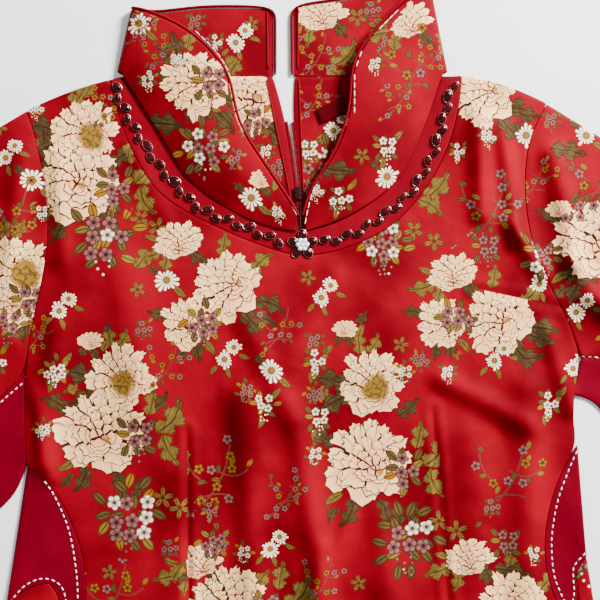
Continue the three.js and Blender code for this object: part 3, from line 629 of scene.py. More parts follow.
# Where the groups lie on each piece, in mm on the garment.
PLACES = {
    "front": [
        # left shoulder and breast
        ("gold peony", -159, -43), ("great peony", -163, -80), ("hanging cluster", -142, -120),
        ("upright leaf", -190, -43), ("upright leaf", -187, -60), ("gold leaf", -161, -14),
        ("small twig", -138, -22), ("few white", -195, -26), ("few white", -190, -104),
        ("side peony", -88, -124), ("lone peony", -51, -159), ("small peony", -82, -187),
        ("daisy", -97, -154), ("star", -118, -161), ("daisies", -54, -213), ("dark leaf", -28, -184),
        ("few mauve", -114, -189), ("small twig", -97, -217), ("gold leaf", -114, -136),
        # left waist
        ("bud", -154, -199), ("gold peony", -131, -227), ("great peony", -146, -266),
        ("hanging cluster", -125, -328), ("white", -180, -221), ("few white", -189, -264),
        ("few mauve", -95, -352), ("gold leaf", -88, -372), ("small twig", -196, -196),
        ("daisies", -177, -177), ("twig", -62, -303), ("mauve", -62, -349), ("few mauve", -65, -326),
        ("side peony", -74, -364), ("great peony", -50, -396), ("few white", -40, -356),
        ("daisies", -20, -354), ("small twig", -7, -311), ("gold leaf", -26, -378), ("star", -140, -372),
        ("twig", -140, -392), ("white", -24, -247), ("daisy", -19, -221), ("few mauve", -38, -236),
        # middle
        ("daisies", 18, -167), ("star", 8, -152), ("mixed", 64, -128), ("stars", 87, -117),
        ("bud", 36, -190), ("gold peony", 55, -231), ("great peony", 53, -291),
        ("hanging cluster", 81, -346), ("white", 14, -214), ("white", 16, -257), ("few white", 13, -283),
        ("few mauve", 13, -238), ("few mauve", 13, -199), ("small twig", -14, -191),
        ("few mauve", 92, -214), ("star", 77, -202), ("few white", 80, -222), ("small twig", 18, -376),
        ("star", 46, -380),
        # right
        ("lone peony", 140, -15), ("dark leaf", 163, -25), ("daisy", 171, -46), ("few white", 120, -58),
        ("few white", 142, -48), ("gold leaves", 105, -84), ("twig", 143, -101), ("mauve", 141, -130),
        ("side peony", 116, -148), ("lone peony", 150, -183), ("small peony", 107, -186),
        ("dark leaf", 182, -190), ("dark leaf", 171, -210), ("daisies", 147, -214), ("daisies", 180, -157),
        ("mixed", 184, -134), ("few white", 112, -222), ("white", 188, -246), ("twig", 156, -303),
        ("few mauve", 145, -322), ("mauve", 156, -350), ("side peony", 128, -361),
        ("lone peony", 162, -396), ("few white", 176, -358), ("dark leaf", 160, -371),
        ("daisies", 206, -220), ("star", 118, -208),
    ],
    "collar_left": [
        ("small peony", -76, -10), ("lone peony", -76, -9), ("upright leaf", -90, 17),
        ("few white", -110, -5), ("dark leaf", -98, -38), ("mixed", -68, -57), ("star", -42, -46),
        ("daisy", -34, -93), ("bud", -26, -79), ("few white", -13, -104), ("small twig", -104, 14),
        ("few white", -88, 8), ("daisy", -117, 36), ("daisies", -46, 24), ("few mauve", -76, 40),
        ("gold leaf", -48, 6), ("star", -34, 38), ("few white", -61, 24), ("few mauve", -46, -64),
        ("small twig", -112, 40), ("few mauve", -66, 22),
    ],
    "collar_right": [
        ("side peony", 82, 38), ("few mauve", 62, 20), ("twig", 84, 2), ("small twig", 76, -18),
        ("white", 66, -56), ("daisy", 67, -77), ("dark leaf", 30, -72), ("white", 32, -92),
        ("few white", 14, -88), ("small twig", 100, 12), ("side peony", 18, 46), ("stars", 45, 43),
        ("few mauve", 56, 50), ("gold leaves", 36, 15), ("small twig", 14, 14), ("star", 108, 28),
        ("few white", 58, 6), ("star", 48, -62),
    ],
    "back_left": [
        ("lone peony", -36, -20), ("mauve", -31, -34), ("few white", -23, -57), ("few mauve", -14, -70),
        ("star", -22, -44),
    ],
    "back_right": [
        ("daisies", 27, -42), ("small twig", 11, -20), ("white", 8, -57), ("mixed", 22, -66),
        ("few mauve", 10, -84),
    ],
    "sleeve_left": [
        ("gold peony", -208, -146), ("small peony", -212, -172), ("mauve", -214, -188),
        ("daisies", -217, -63), ("daisy", -197, -80), ("few white", -191, -104), ("twig", -212, -106),
        ("gold leaves", -240, -30), ("lone peony", -262, -92), ("star", -222, -40), ("white", -226, -214),
    ],
    "sleeve_right": [
        ("great peony", 222, -126), ("bud", 195, -101), ("dark leaf", 210, -152), ("daisy", 216, -46),
        ("few mauve", 190, -34), ("star", 206, -30), ("small twig", 176, -80), ("mauve", 184, -136),
        ("twig", 224, -78), ("daisies", 208, -178), ("white", 236, -196), ("dark leaf", 202, -58),
    ],
    "side_gore_left": [],
    "side_gore_right": [],
}
# Seams across which the print doesn't match: the darts of the front, and each collar's folded edge.
PRINT_BREAKS = {
    "front": [
        [(131, -160), (197, -174)],
        [(-82, -266), (-82, -430)],
        [(101, -251), (109, -310), (116, -430)],
    ],
    "collar_left": [
        [(-118, 45), (-88, 37), (-69, 25), (-52, 2), (-45, -19), (-43, -45), (-26, -75), (-4, -115)],
    ],
    "collar_right": [
        [(86, 56), (62, 22), (45, -5), (45, -28), (34, -60), (18, -75), (8, -98), (4, -118)],
    ],
}
BREAK_REACH_MM = 70
# Elsewhere the groups repeat: rows this far apart, each row's groups stepped across by half.
REPEAT = {"across": 104, "up": 92, "start_x": -400, "start_y": -905, "rows": 11, "columns": 8, "sway": 8}
REPEAT_ROUND = ["great peony", "twig", "hanging cluster", "side peony", "daisies", "lone peony", "mauve",
                "gold peony", "white", "stars", "small peony"]
CLEAR_OF = {"front": 60, "collar_left": 200, "collar_right": 200}  # mm kept from what is placed one by one
CLEAR_OF_MM = 70
NEAR = 0.06  # motifs this far outside a piece's box may still reach it
SEEDS = 10
FACES_AT_ONCE = 20000


def print_side(piece, points):
    """Which side of each of a piece's print breaks the points (mm) lie on: -1 or 1, or 0 where it is far."""
    sides = []
    for line in PRINT_BREAKS.get(piece, []):
        best = numpy.full(len(points), 1e9)
        side = numpy.zeros(len(points))
        for number, (start, end) in enumerate(zip(line, line[1:])):
            run = numpy.subtract(end, start)
            away = points - start
            share = away @ run / (run @ run)
            beyond = ((number == 0) & (share < 0)) | ((number == len(line) - 2) & (share > 1))
            gap = numpy.linalg.norm(away - numpy.clip(share, 0, 1)[:, None] * run, axis=1)
            turn = numpy.sign(run[0] * away[:, 1] - run[1] * away[:, 0])
            turn[beyond | (gap > BREAK_REACH_MM)] = 0
            nearer = gap < best
            best[nearer] = gap[nearer]
            side[nearer] = turn[nearer]
        sides.append(side)
    return numpy.array(sides).reshape(len(sides), len(points)).T


def motifs_for(piece):
    """Every motif near a piece, as rows for each layer: kind, seed, x, y (mm), size (mm), turn."""
    chooser = random.Random(f"{RANDOM_SEED} {piece}")
    placed = list(PLACES[piece])
    taken = [(x, y) for _, x, y in placed]
    clear = CLEAR_OF.get(piece, CLEAR_OF_MM)
    low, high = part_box(piece)
    for row in range(REPEAT["rows"]):
        y = REPEAT["start_y"] + row * REPEAT["up"]
        for column in range(REPEAT["columns"]):
            x = REPEAT["start_x"] + (column + (row % 2) / 2) * REPEAT["across"]
            spot = place(x, y)
            near_piece = all(low[i] - NEAR < spot[i] < high[i] + NEAR for i in (0, 1))
            if near_piece and all(math.hypot(x - tx, y - ty) > clear for tx, ty in taken):
                group = REPEAT_ROUND[(row * 3 + column) % len(REPEAT_ROUND)]
                sway = REPEAT["sway"]
                placed.append((group, x + chooser.uniform(-sway, sway), y + chooser.uniform(-sway, sway)))
    layers = {BLOOM: [], LEAF: [], SPRAY: []}
    for group, x, y in placed:
        for (layer, kind), right, up, size, turn in GROUPS[group]:
            seed = chooser.randrange(SEEDS)
            layers[layer].append((kind, seed, x + right, y + up, size, math.radians(turn)))
    return {layer: numpy.array(rows) for layer, rows in layers.items()}


def gathered(items, name, width=0):
    """A named value of every vertex, face or corner: whole numbers, or rows of width numbers."""
    values = numpy.empty(len(items) * max(1, width), dtype=float if width else numpy.int32)
    items.foreach_get(name, values)
    return values.reshape(-1, width) if width else values


def to_garment(coordinates):
    """Vertex or face places in metres, as mm on the garment."""
    return (coordinates[:, :2] - (MIDDLE_X, NECK_Y)) / MM


def in_mm(spot):
    """One place in metres, as mm on the garment."""
    return (spot.x - MIDDLE_X) / MM, (spot.y - NECK_Y) / MM


def print_maps(mesh, piece):
    """Gives each face its place on the nearest motif of each layer."""
    corners = to_garment(gathered(mesh.vertices, "co", 3))
    centres = to_garment(gathered(mesh.polygons, "center", 3))
    totals = gathered(mesh.polygons, "loop_total")
    loop_corner = gathered(mesh.loops, "vertex_index")
    loop_face = numpy.repeat(numpy.arange(len(totals)), totals)
    face_side = print_side(piece, centres)
    for layer, motifs in motifs_for(piece).items():
        kind, seed, size, turn = motifs[:, 0], motifs[:, 1], motifs[:, 4], motifs[:, 5]
        spots = motifs[:, 2:4]
        motif_side = print_side(piece, spots)
        nearest = numpy.zeros(len(centres), dtype=numpy.int32)
        for start in range(0, len(centres), FACES_AT_ONCE):
            part = slice(start, start + FACES_AT_ONCE)
            score = numpy.linalg.norm(centres[part, None] - spots, axis=2) / size
            if motif_side.shape[1]:
                apart = (face_side[part, None] * motif_side < 0).any(axis=2)
                score[apart] = 1e6
            nearest[part] = score.argmin(axis=1)
        which = nearest[loop_face]
        away = (corners[loop_corner] - spots[which]) / size[which, None]
        cosine, sine = numpy.cos(turn[which]), numpy.sin(turn[which])
        x, y = away.T
        local = numpy.stack((x * cosine + y * sine, y * cosine - x * sine), axis=1)
        local = numpy.clip(local, -CELL_INSIDE, CELL_INSIDE)
        local += numpy.stack((kind[which], seed[which]), axis=1) * CELL
        mesh.uv_layers.new(name=layer).data.foreach_set("uv", local.astype(numpy.float32).ravel())


# ---------------------------------------------------------------- cloth pieces
# Small folds of the upper layer, on top of those in the solids: a soft ridge or trough each.
CREASES = named_rows(("x1", "y1", "x2", "y2", "high", "wide"), [
    # middle and waist
    (-40, -244, -27, -420, 3.0, 13), (-92, -300, -90, -430, 1.8, 12), (0, -262, 22, -400, 2.6, 10),
    (40, -330, 12, -398, 1.7, 6), (20, -352, 2, -420, 1.4, 6), (62, -330, 74, -440, 1.8, 11),
    (-128, -150, -116, -250, 1.6, 15), (28, -150, -6, -214, 1.6, 10), (-36, -186, -8, -250, 1.7, 10),
    # right breast and waist
    (108, -228, 172, -262, 2.4, 9), (132, -270, 134, -400, 1.6, 13), (172, -236, 172, -400, 2.8, 13),
    (136, -30, 137, -104, 2.6, 8), (152, -40, 164, -122, 2.2, 7), (158, -112, 182, -150, 2.2, 7),
    (186, -190, 204, -250, 2.0, 7),
    # left breast and side
    (-178, -190, -190, -290, 2.2, 9), (-196, -236, -184, -300, 1.4, 6), (-178, -60, -174, -140, 1.4, 8),
    (-120, -60, -98, -110, 1.2, 9),
    # sleeves
    (-204, -60, -214, -150, 2.4, 9), (-214, -196, -268, -224, 2.4, 9), (-226, -160, -310, -196, 2.0, 10),
    (-240, -100, -330, -176, 1.8, 12), (190, -60, 206, -140, 2.6, 8), (212, -166, 268, -192, 2.4, 9),
    (202, -140, 234, -180, 2.0, 7), (236, -90, 326, -170, 1.8, 12),
    # skirt
    (-120, -470, -128, -660, 2.4, 12), (-70, -560, -76, -760, 1.8, 11), (22, -480, 34, -720, 2.6, 12),
    (110, -460, 124, -680, 2.2, 12), (-20, -680, -26, -900, 2.4, 13), (84, -720, 90, -905, 2.0, 12),
    (156, -660, 164, -900, 2.2, 12), (-150, -720, -158, -905, 2.0, 12),
])
# Darts: a stitched line across which the print doesn't match.
DARTS = named_rows(("name", "x1", "y1", "x2", "y2"), [
    ("bust right", 131, -160, 197, -174),
    ("waist left", -82, -266, -81, -430),
    ("waist right", 101, -251, 116, -430),
])
FOLD_DEPTH = 1.9
DART_WIDE_MM = 2.6
DART_DEEP_MM = 0.9
DART_ENDS = 6  # a dart fades out over one part in so many of its length
LIP = {"away": 5, "wide": 3.5, "high": 0.5}  # the cloth swells beside a dart, mm
RIPPLE = {"across": 52, "along": 70, "high": 0.9, "middle": 0.4}  # the whole cloth's unevenness, mm


def bell(distance, wide):
    return math.exp(-((distance / wide) ** 2))


def across_stroke(x, y, row):
    """(distance from a row's line, share along it)."""
    run_x, run_y = row["x2"] - row["x1"], row["y2"] - row["y1"]
    share = ((x - row["x1"]) * run_x + (y - row["y1"]) * run_y) / (run_x ** 2 + run_y ** 2)
    share = max(0.0, min(1.0, share))
    return math.hypot(x - row["x1"] - share * run_x, y - row["y1"] - share * run_y), share


def crease_height(x, y):
    """Height in mm that the small folds and darts give the upper layer."""
    height = 0.0
    for row in CREASES:
        distance, _ = across_stroke(x, y, row)
        if distance < 3 * row["wide"]:
            height += row["high"] * bell(distance, row["wide"])
    for row in DARTS:
        distance, share = across_stroke(x, y, row)
        if distance < 4 * DART_WIDE_MM:
            height -= (DART_DEEP_MM * bell(distance, DART_WIDE_MM)
                       * min(1.0, share * DART_ENDS, (1 - share) * DART_ENDS))
            height += LIP["high"] * bell(distance - LIP["away"], LIP["wide"])
    ripple = noise.fractal(Vector((x / RIPPLE["across"], y / RIPPLE["along"], 0.4)), 0.7, 2.0, 3)
    return FOLD_DEPTH * height + RIPPLE["high"] * (ripple + RIPPLE["middle"])


RELAX_ROUNDS = 14
RELAX_SHARE = 0.5
CUT_REACH = 0.012  # a cut goes through the faces this near its line
WALL_SLOPE = 0.3  # a steeper face belongs to the edge of the cloth
LIFT_FROM = 0.0013  # what lies lower than this is the lower layer
LIFT_OVER = 0.0008  # the lift grows to its full height over this much


def relax(bm):
    """Evens out the inside of a piece's two faces, and leaves its edges where they are."""
    side = bm.faces.layers.int["side"]
    inner = [vert for vert in bm.verts
             if vert.link_faces[0][side] and len({face[side] for face in vert.link_faces}) == 1]
    for _ in range(RELAX_ROUNDS):
        bmesh.ops.smooth_vert(bm, verts=inner, factor=RELAX_SHARE,
                              use_axis_x=True, use_axis_y=True, use_axis_z=True)


def cut_along(bm, outline):
    """Cuts a piece's faces along a line of places (mm), so that its look can change there sharply."""
    points = [place(x, y) for x, y in outline]
    for start, end in zip(points, points[1:]):
        run = (end - start).normalized()
        length = (end - start).length
        near = []
        for face in bm.faces:
            away = face.calc_center_median().xy - start
            if -CUT_REACH < away.dot(run) < length + CUT_REACH and abs(away.cross(run)) < CUT_REACH:
                near.append(face)
        parts = {v for f in near for v in f.verts} | {e for f in near for e in f.edges} | set(near)
        bmesh.ops.bisect_plane(bm, geom=list(parts), dist=1e-6,
                               plane_co=(start.x, start.y, 0), plane_no=(-run.y, run.x, 0))


def rumple(bm):
    """Raises the upper layer of a piece by the small folds; the lower layer stays flat on the floor."""
    for vert in bm.verts:
        weight = max(0.0, min(1.0, (vert.co.z - LIFT_FROM) / LIFT_OVER))
        if weight > 0:
            vert.co.z += weight * max(0.0, crease_height(*in_mm(vert.co))) * MM


def mesh_of(bm, name):
    """The finished bmesh as a mesh."""
    mesh = bpy.data.meshes.new(name)
    bm.to_mesh(mesh)
    bm.free()
    return mesh


def bmesh_of(*meshes):
    bm = bmesh.new()
    for mesh in meshes:
        bm.from_mesh(mesh)
    return bm


def link(name, mesh, materials, slot, *nodes):
    """An object for a finished mesh with its materials, in place of the CAD nodes named."""
    for material in materials:
        mesh.materials.append(material)
    piece = bpy.data.objects.new(name, mesh)
    bpy.context.scene.collection.objects.link(piece)
    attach(piece, "root")
    if nodes:
        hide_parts(*nodes)
    return piece


MERGE = 2e-5
JOIN_TURN = math.radians(50)
JOIN_SKEW = math.radians(70)
SHARP_TURN = math.radians(48)


def refined(node, levels, hold=0.9):
    """A smooth, finer copy of a node's shape, with its sharp edges held and no materials."""
    bm = bmesh_of(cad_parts[node].data)
    bmesh.ops.remove_doubles(bm, verts=bm.verts, dist=MERGE)
    bmesh.ops.join_triangles(
        bm, faces=bm.faces, angle_face_threshold=JOIN_TURN, angle_shape_threshold=JOIN_SKEW,
        cmp_seam=False, cmp_sharp=False, cmp_uvs=False, cmp_vcols=False, cmp_materials=False)
    side = bm.faces.layers.int.new("side")  # 1 on the upper face of a cloth, -1 on the lower, 0 on its edge
    for face in bm.faces:
        if abs(face.normal.z) > WALL_SLOPE:
            face[side] = 1 if face.normal.z > 0 else -1
    creases = bm.edges.layers.float.new("crease_edge")
    for edge in bm.edges:
        if len(edge.link_faces) == 2 and edge.calc_face_angle(0.0) > SHARP_TURN:
            edge[creases] = hold
    mesh = mesh_of(bm, node + "_fine")
    holder = bpy.data.objects.new(node + "_holder", mesh)
    bpy.context.scene.collection.objects.link(holder)
    smoothing = holder.modifiers.new("smooth", "SUBSURF")
    smoothing.levels = levels
    smoothing.render_levels = levels
    made = bpy.data.meshes.new_from_object(holder.evaluated_get(bpy.context.evaluated_depsgraph_get()))
    bpy.data.objects.remove(holder)
    bpy.data.meshes.remove(mesh)
    made.materials.clear()
    return made


def smooth_shaded(mesh):
    mesh.polygons.foreach_set("use_smooth", [True] * len(mesh.polygons))
    mesh.update()
    return mesh


# Each cloth piece: how finely it is divided, its finish, and its cut laid flat, in metres.
CLOTH_PIECES = named_rows(("node", "levels", "finish", "slot", "width", "length", "area"), [
    ("front", 3, PRINTED, "print", 0.4215, 0.919, 0.3214),
    ("back_left", 2, PRINTED, "print", 0.2045, 0.919, 0.1624),
    ("back_right", 2, PRINTED, "print", 0.2210, 0.919, 0.1839),
    ("neck_band", 3, PLAIN, "plain_red", 0.026, 0.370, 0.0079),
    ("collar_left", 3, PRINTED, "print", 0.330, 0.062, 0.0152),
    ("collar_right", 3, PRINTED, "print", 0.330, 0.070, 0.0158),
    ("sleeve_left", 3, PRINTED, "print", 0.345, 0.360, 0.0705),
    ("sleeve_right", 3, PRINTED, "print", 0.345, 0.350, 0.0660),
    ("under_sleeve_left", 3, CRIMSON_CLOTH, "crimson", 0.16, 0.14, 0.0120),
    ("under_sleeve_right", 3, CRIMSON_CLOTH, "crimson", 0.15, 0.14, 0.0092),
    ("side_panel_left", 3, CRIMSON_CLOTH, "crimson", 0.125, 0.135, 0.0082),
    ("side_panel_right", 3, CRIMSON_CLOTH, "crimson", 0.068, 0.133, 0.0053),
    ("side_gore_left", 2, PRINTED, "print", 0.160, 0.541, 0.0663),
    ("side_gore_right", 2, PRINTED, "print", 0.088, 0.559, 0.0282),
])
# A second cord inside the piping at the centre back, on each collar and down each back: the cloth between it
# and the centre back is plain red.
SEAM_CORDS = {
    "collar_left": [(-22.5, 47), (-22.3, 30), (-22.0, 4)],
    "collar_right": [(0.5, 51), (0.5, 30), (0.5, 4)],
    "back_left": [(-22.5, -4), (-16.5, -36), (-8.5, -74), (-4.2, -98)],
    "back_right": [(1.2, -4), (2.8, -46), (5.2, -98)],
}
BAND_ABOVE_MM = {"collar_left": -2, "collar_right": -2, "back_left": -1000, "back_right": -1000}


def plain_band(mesh, node):
    """Makes the faces between the centre back and the seam cord plain red."""
    line = sorted(SEAM_CORDS[node], key=lambda point: point[1])
    heights, places = [point[1] for point in line], [point[0] for point in line]
    way = 1 if node.endswith("left") else -1
    for polygon in mesh.polygons:
        x, y = in_mm(polygon.center)
        if y > BAND_ABOVE_MM[node] and way * (x - numpy.interp(y, heights, places)) > 0:
            polygon.material_index = 1


made_cloth = {}
for row in CLOTH_PIECES:
    node = row["node"]
    fine = refined(node, row["levels"])
    bm = bmesh_of(fine)
    bpy.data.meshes.remove(fine)
    if not node.startswith("collar"):
        relax(bm)
    if node == "front":
        for dart in DARTS:
            cut_along(bm, [(dart["x1"], dart["y1"]), (dart["x2"], dart["y2"])])
    if node in SEAM_CORDS:
        cut_along(bm, SEAM_CORDS[node])
    if not node.startswith("collar"):
        rumple(bm)
    mesh = smooth_shaded(mesh_of(bm, node + "_cloth"))
    materials = [row["finish"]]
    if row["finish"] is PRINTED:
        print_maps(mesh, node)
    if node in SEAM_CORDS:
        materials.append(PLAIN)
        plain_band(mesh, node)
    made_cloth[node] = link(node + "_cloth", mesh, materials, row["slot"], node)

# ---------------------------------------------------------------- piping
for side in ("left", "right"):
    node = f"piping_{side}"
    link(node + "_cord", smooth_shaded(refined(node, 2, hold=0.0)), [PLAIN], "plain_red", node)


# ---------------------------------------------------------------- what lies on the cloth
def surface_of(*names):
    """A search tree over the finished cloth pieces named."""
    bm = bmesh_of(*(made_cloth[name].data for name in names))
    tree = BVHTree.FromBMesh(bm)
    bm.free()
    return tree


UP = Vector((0, 0, 1))
ABOVE_ALL = 0.1


def on_surface(tree, spot):
    """(height, normal) of the cloth straight below a place."""
    hit, normal, _, _ = tree.ray_cast(Vector((spot.x, spot.y, ABOVE_ALL)), -UP)
    if hit is None:
        return LAYER_TOP, UP
    return hit.z, normal if normal.z > 0 else -normal


CURVE_STEPS = 24  # between two places of an outline


def curve_points(outline, spacing):
    """Evenly spaced places, with directions, along a smooth curve through an outline's points (mm)."""
    points = [place(x, y) for x, y in outline]
    dense = []
    for i in range(len(points) - 1):
        before, start = points[max(i - 1, 0)], points[i]
        end, after = points[i + 1], points[min(i + 2, len(points) - 1)]
        for step in range(CURVE_STEPS):
            t = step / CURVE_STEPS
            bend = 2 * before - 5 * start + 4 * end - after
            twist = 3 * start - before - 3 * end + after
            dense.append(0.5 * (2 * start + (end - before) * t + bend * t * t + twist * t ** 3))
    dense.append(points[-1])
    lengths = [0.0]
    for a, b in zip(dense, dense[1:]):
        lengths.append(lengths[-1] + (b - a).length)
    count = max(1, round(lengths[-1] / spacing))
    found = []
    index = 0
    for i in range(count + 1):
        target = lengths[-1] * i / count
        while index < len(lengths) - 2 and lengths[index + 1] < target:
            index += 1
        share = (target - lengths[index]) / max(1e-9, lengths[index + 1] - lengths[index])
        direction = (dense[index + 1] - dense[index]).normalized()
        found.append((dense[index].lerp(dense[index + 1], share), direction))
    return found


def facing(spot, height, direction, normal):
    """A matrix with X along a direction on the cloth and Z out of the cloth."""
    along = Vector((direction.x, direction.y, 0))
    along = (along - normal * along.dot(normal)).normalized()
    side = normal.cross(along)
    turn = Matrix((along, side, normal)).transposed().to_4x4()
    return Matrix.Translation((spot.x, spot.y, height)) @ turn


STITCH = {"length": 0.0031, "gap": 0.0017, "wide": 0.0011, "high": 0.0007}
STITCH_LINES = {
    "side_panel_left": [
        [(-199.5, -290.5), (-192, -299), (-180, -318), (-170, -343), (-165, -372),
         (-164, -394), (-166, -414)],
        [(-214, -394), (-203, -382), (-189, -377), (-177, -382), (-172.5, -394), (-172, -408)],
    ],
    "side_panel_right": [
        [(208.5, -283), (204, -293), (195, -317), (190, -345), (191.5, -372), (197, -388), (202, -398)],
        [(214.5, -359), (207, -368), (206.5, -378), (207, -388), (205, -398)],
    ],
    "under_sleeve_left": [
        [(-206, -232), (-222, -246), (-240, -267), (-262, -296), (-294, -338)],
        [(-203, -240), (-202, -250), (-200.5, -262)],
    ],
    "under_sleeve_right": [
        [(214, -211), (227, -213), (246, -228), (266, -260), (291, -327)],
    ],
}


def stitches(node, lines, stitch, material, suffix):
    """Short threads in rows on a piece, such as running stitch along its edges."""
    tree = surface_of(node)
    bm = bmesh.new()
    for line in lines:
        for spot, direction in curve_points(line, stitch["length"] + stitch["gap"]):
            height, normal = on_surface(tree, spot)
            size = Matrix.Diagonal((stitch["length"] / 2, stitch["wide"] / 2, stitch["high"], 1))
            seat = facing(spot, height, direction, normal)
            bmesh.ops.create_uvsphere(bm, u_segments=8, v_segments=6, radius=1.0, matrix=seat @ size)
    link(node + suffix, smooth_shaded(mesh_of(bm, node + suffix)), [material], "pearl")


for node, lines in STITCH_LINES.items():
    stitches(node, lines, STITCH, THREAD, "_stitches")

SEAM_CORD_RADIUS = 0.0007
CORD_STEP = 0.004
CORD_SIDES = 6
# Thread that fills the seams where the floor would show through.
SEAM_THREADS = named_rows(("name", "radius", "height", "line"), [
    ("neck_seam_left", 0.0007, 0.0007, [(-54, -0.6), (-36, -0.6), (-17.5, -0.6)]),
    ("neck_seam_right", 0.0007, 0.0007, [(-2.5, -0.6), (20, -0.6), (44, -0.6)]),
    ("underarm_left", 0.0015, 0.0015, [(-202.4, -212), (-204.6, -224), (-213, -233)]),
    ("underarm_right", 0.0015, 0.0015, [(208.4, -203), (211, -208.5), (214.5, -212), (217.5, -213.5)]),
    ("zip_seam_left", 0.0006, 0.0007, [(-8.5, -35.6), (-2.25, -80.6), (-0.5, -98)]),
    ("zip_seam_right", 0.0006, 0.0007, [(-2.25, -35.6), (3, -80.6), (4.5, -98)]),
])
# The cream edge of the print that shows beside the piping of the folded wings.
EDGE_STITCH = {"length": 0.0052, "gap": 0.0006, "wide": 0.0008, "high": 0.0004}
EDGE_LINES = {
    "collar_left": [
        [(-74.5, 31), (-61.5, 18), (-52, 3), (-47, -16), (-44, -34)], [(-30.5, -58), (-22, -70)],
        [(-8.5, -90), (-1.5, -103)],
    ],
    "collar_right": [
        [(62, 33), (73, 44)], [(47, 13), (44.5, 6)], [(42.5, -4), (42.5, -16), (42.5, -28)],
        [(17.8, -76), (11.8, -88), (8.3, -100), (6.3, -110)],
    ],
}


def edges_of(verts):
    return list({edge for vert in verts for edge in vert.link_edges})


def cord(name, outline, radius, material, node=None, height=0.0):
    """A thin round cord lying on a cloth piece, or at a height of its own."""
    tree = surface_of(node) if node else None
    bm = bmesh.new()
    rings = []
    for spot, direction in curve_points(outline, CORD_STEP):
        level, normal = on_surface(tree, spot) if node else (height, UP)
        across = facing(spot, level, direction, normal) @ Matrix.Rotation(math.pi / 2, 4, "Y")
        ring = bmesh.ops.create_circle(bm, segments=CORD_SIDES, radius=radius, matrix=across)["verts"]
        rings.append(edges_of(ring))
    for before, after in zip(rings, rings[1:]):
        bmesh.ops.bridge_loops(bm, edges=before + after)
    for end in (rings[0], rings[-1]):
        bmesh.ops.contextual_create(bm, geom=end)
    bmesh.ops.recalc_face_normals(bm, faces=bm.faces)
    link(name, smooth_shaded(mesh_of(bm, name)), [material], "plain_red")


for node, outline in SEAM_CORDS.items():
    cord(node + "_seam_cord", outline, SEAM_CORD_RADIUS, PLAIN, node)
for row in SEAM_THREADS:
    cord(row["name"], row["line"], row["radius"], PLAIN, height=row["height"])
for node, lines in EDGE_LINES.items():
    stitches(node, lines, EDGE_STITCH, CREAM_THREAD, "_cream_edge")

# ---------------------------------------------------------------- stones
STONE = {"length": 0.009, "width": 0.006, "high": 0.0022, "pitch": 0.0085, "sway": 0.0014, "turn": 0.35}
TURN_SPREAD = 0.3  # how far a stone's turn strays
SMALLEST = 0.84  # of the size in STONE
BIGGER = 1.15  # every fourth stone
GARNET_LENGTH, GARNET_WIDTH = 0.92, 0.9  # of the rim's
CHAINS = {
    "left": [(-135.5, -10), (-131, -22), (-121, -41), (-110, -59),
             (-94, -79), (-72, -100), (-44, -112), (-13, -125)],
    "right": [(21, -125), (43, -119), (68, -103), (88, -84), (103, -56), (112, -24), (116, -9)],
}
STONE_LIFT = 0.0003
STONE_RINGS = [(0.50, 0.10), (0.50, 0.38), (0.40, 0.72), (0.24, 0.98)]  # radius and height, in its own size
STONE_SIDES = 12
RIM_RADIUS = 0.475  # of a stone's length and width
RIM_THICK = 0.036
RIM_LEVEL = 0.34  # of a stone's height


def cut_stone(bm, matrix, material_index):
    """An oval stone with a ring of facets and a flat table; X is its length."""
    first = len(bm.faces)
    radius, high = STONE_RINGS[0]
    loop = bmesh.ops.create_circle(bm, segments=STONE_SIDES, radius=radius,
                                   matrix=matrix @ Matrix.Translation((0, 0, high)))["verts"]
    edges = edges_of(loop)
    inverse = matrix.inverted()
    for (before, low), (radius, high) in zip(STONE_RINGS, STONE_RINGS[1:]):
        grown = bmesh.ops.extrude_edge_only(bm, edges=edges)["geom"]
        loop = [item for item in grown if isinstance(item, bmesh.types.BMVert)]
        edges = [item for item in grown if isinstance(item, bmesh.types.BMEdge)]
        shape = Matrix.Translation((0, 0, high)) @ Matrix.Diagonal((radius / before, radius / before, 1, 1))
        grow = shape @ Matrix.Translation((0, 0, -low))
        bmesh.ops.transform(bm, matrix=matrix @ grow @ inverse, verts=loop)
    bmesh.ops.contextual_create(bm, geom=edges)
    bm.faces.ensure_lookup_table()
    for face in bm.faces[first:]:
        face.material_index = material_index


def rim(bm, matrix, radius, thick, material_index, segments=20):
    """A round wire round a stone, in the stone's own size."""
    first = len(bm.faces)
    place_tube = Matrix.Translation((radius, 0, 0)) @ Matrix.Rotation(math.pi / 2, 4, "X")
    tube = bmesh.ops.create_circle(bm, segments=6, radius=thick, matrix=place_tube)["verts"]
    bmesh.ops.spin(bm, geom=tube + edges_of(tube), cent=(0, 0, 0), axis=(0, 0, 1), angle=TAU,
                   steps=segments, use_merge=True)
    bm.faces.ensure_lookup_table()
    ring = {vert for face in bm.faces[first:] for vert in face.verts}
    bmesh.ops.transform(bm, matrix=matrix, verts=list(ring))
    for face in bm.faces[first:]:
        face.material_index = material_index


def link_stones(name, bm, materials, slot, node):
    bmesh.ops.recalc_face_normals(bm, faces=bm.faces)
    link(name, mesh_of(bm, name), materials, slot, node)


def set_stone(bm, matrix, length, width, high):
    """A garnet in a thin rim, on a matrix whose X is along the stone."""
    garnet = Matrix.Diagonal((length * GARNET_LENGTH, width * GARNET_WIDTH, high, 1))
    cut_stone(bm, matrix @ garnet, 0)
    around = Matrix.Diagonal((length, width, (length + width) / 2, 1))
    rim(bm, matrix @ Matrix.Translation((0, 0, high * RIM_LEVEL)) @ around, RIM_RADIUS, RIM_THICK, 1)


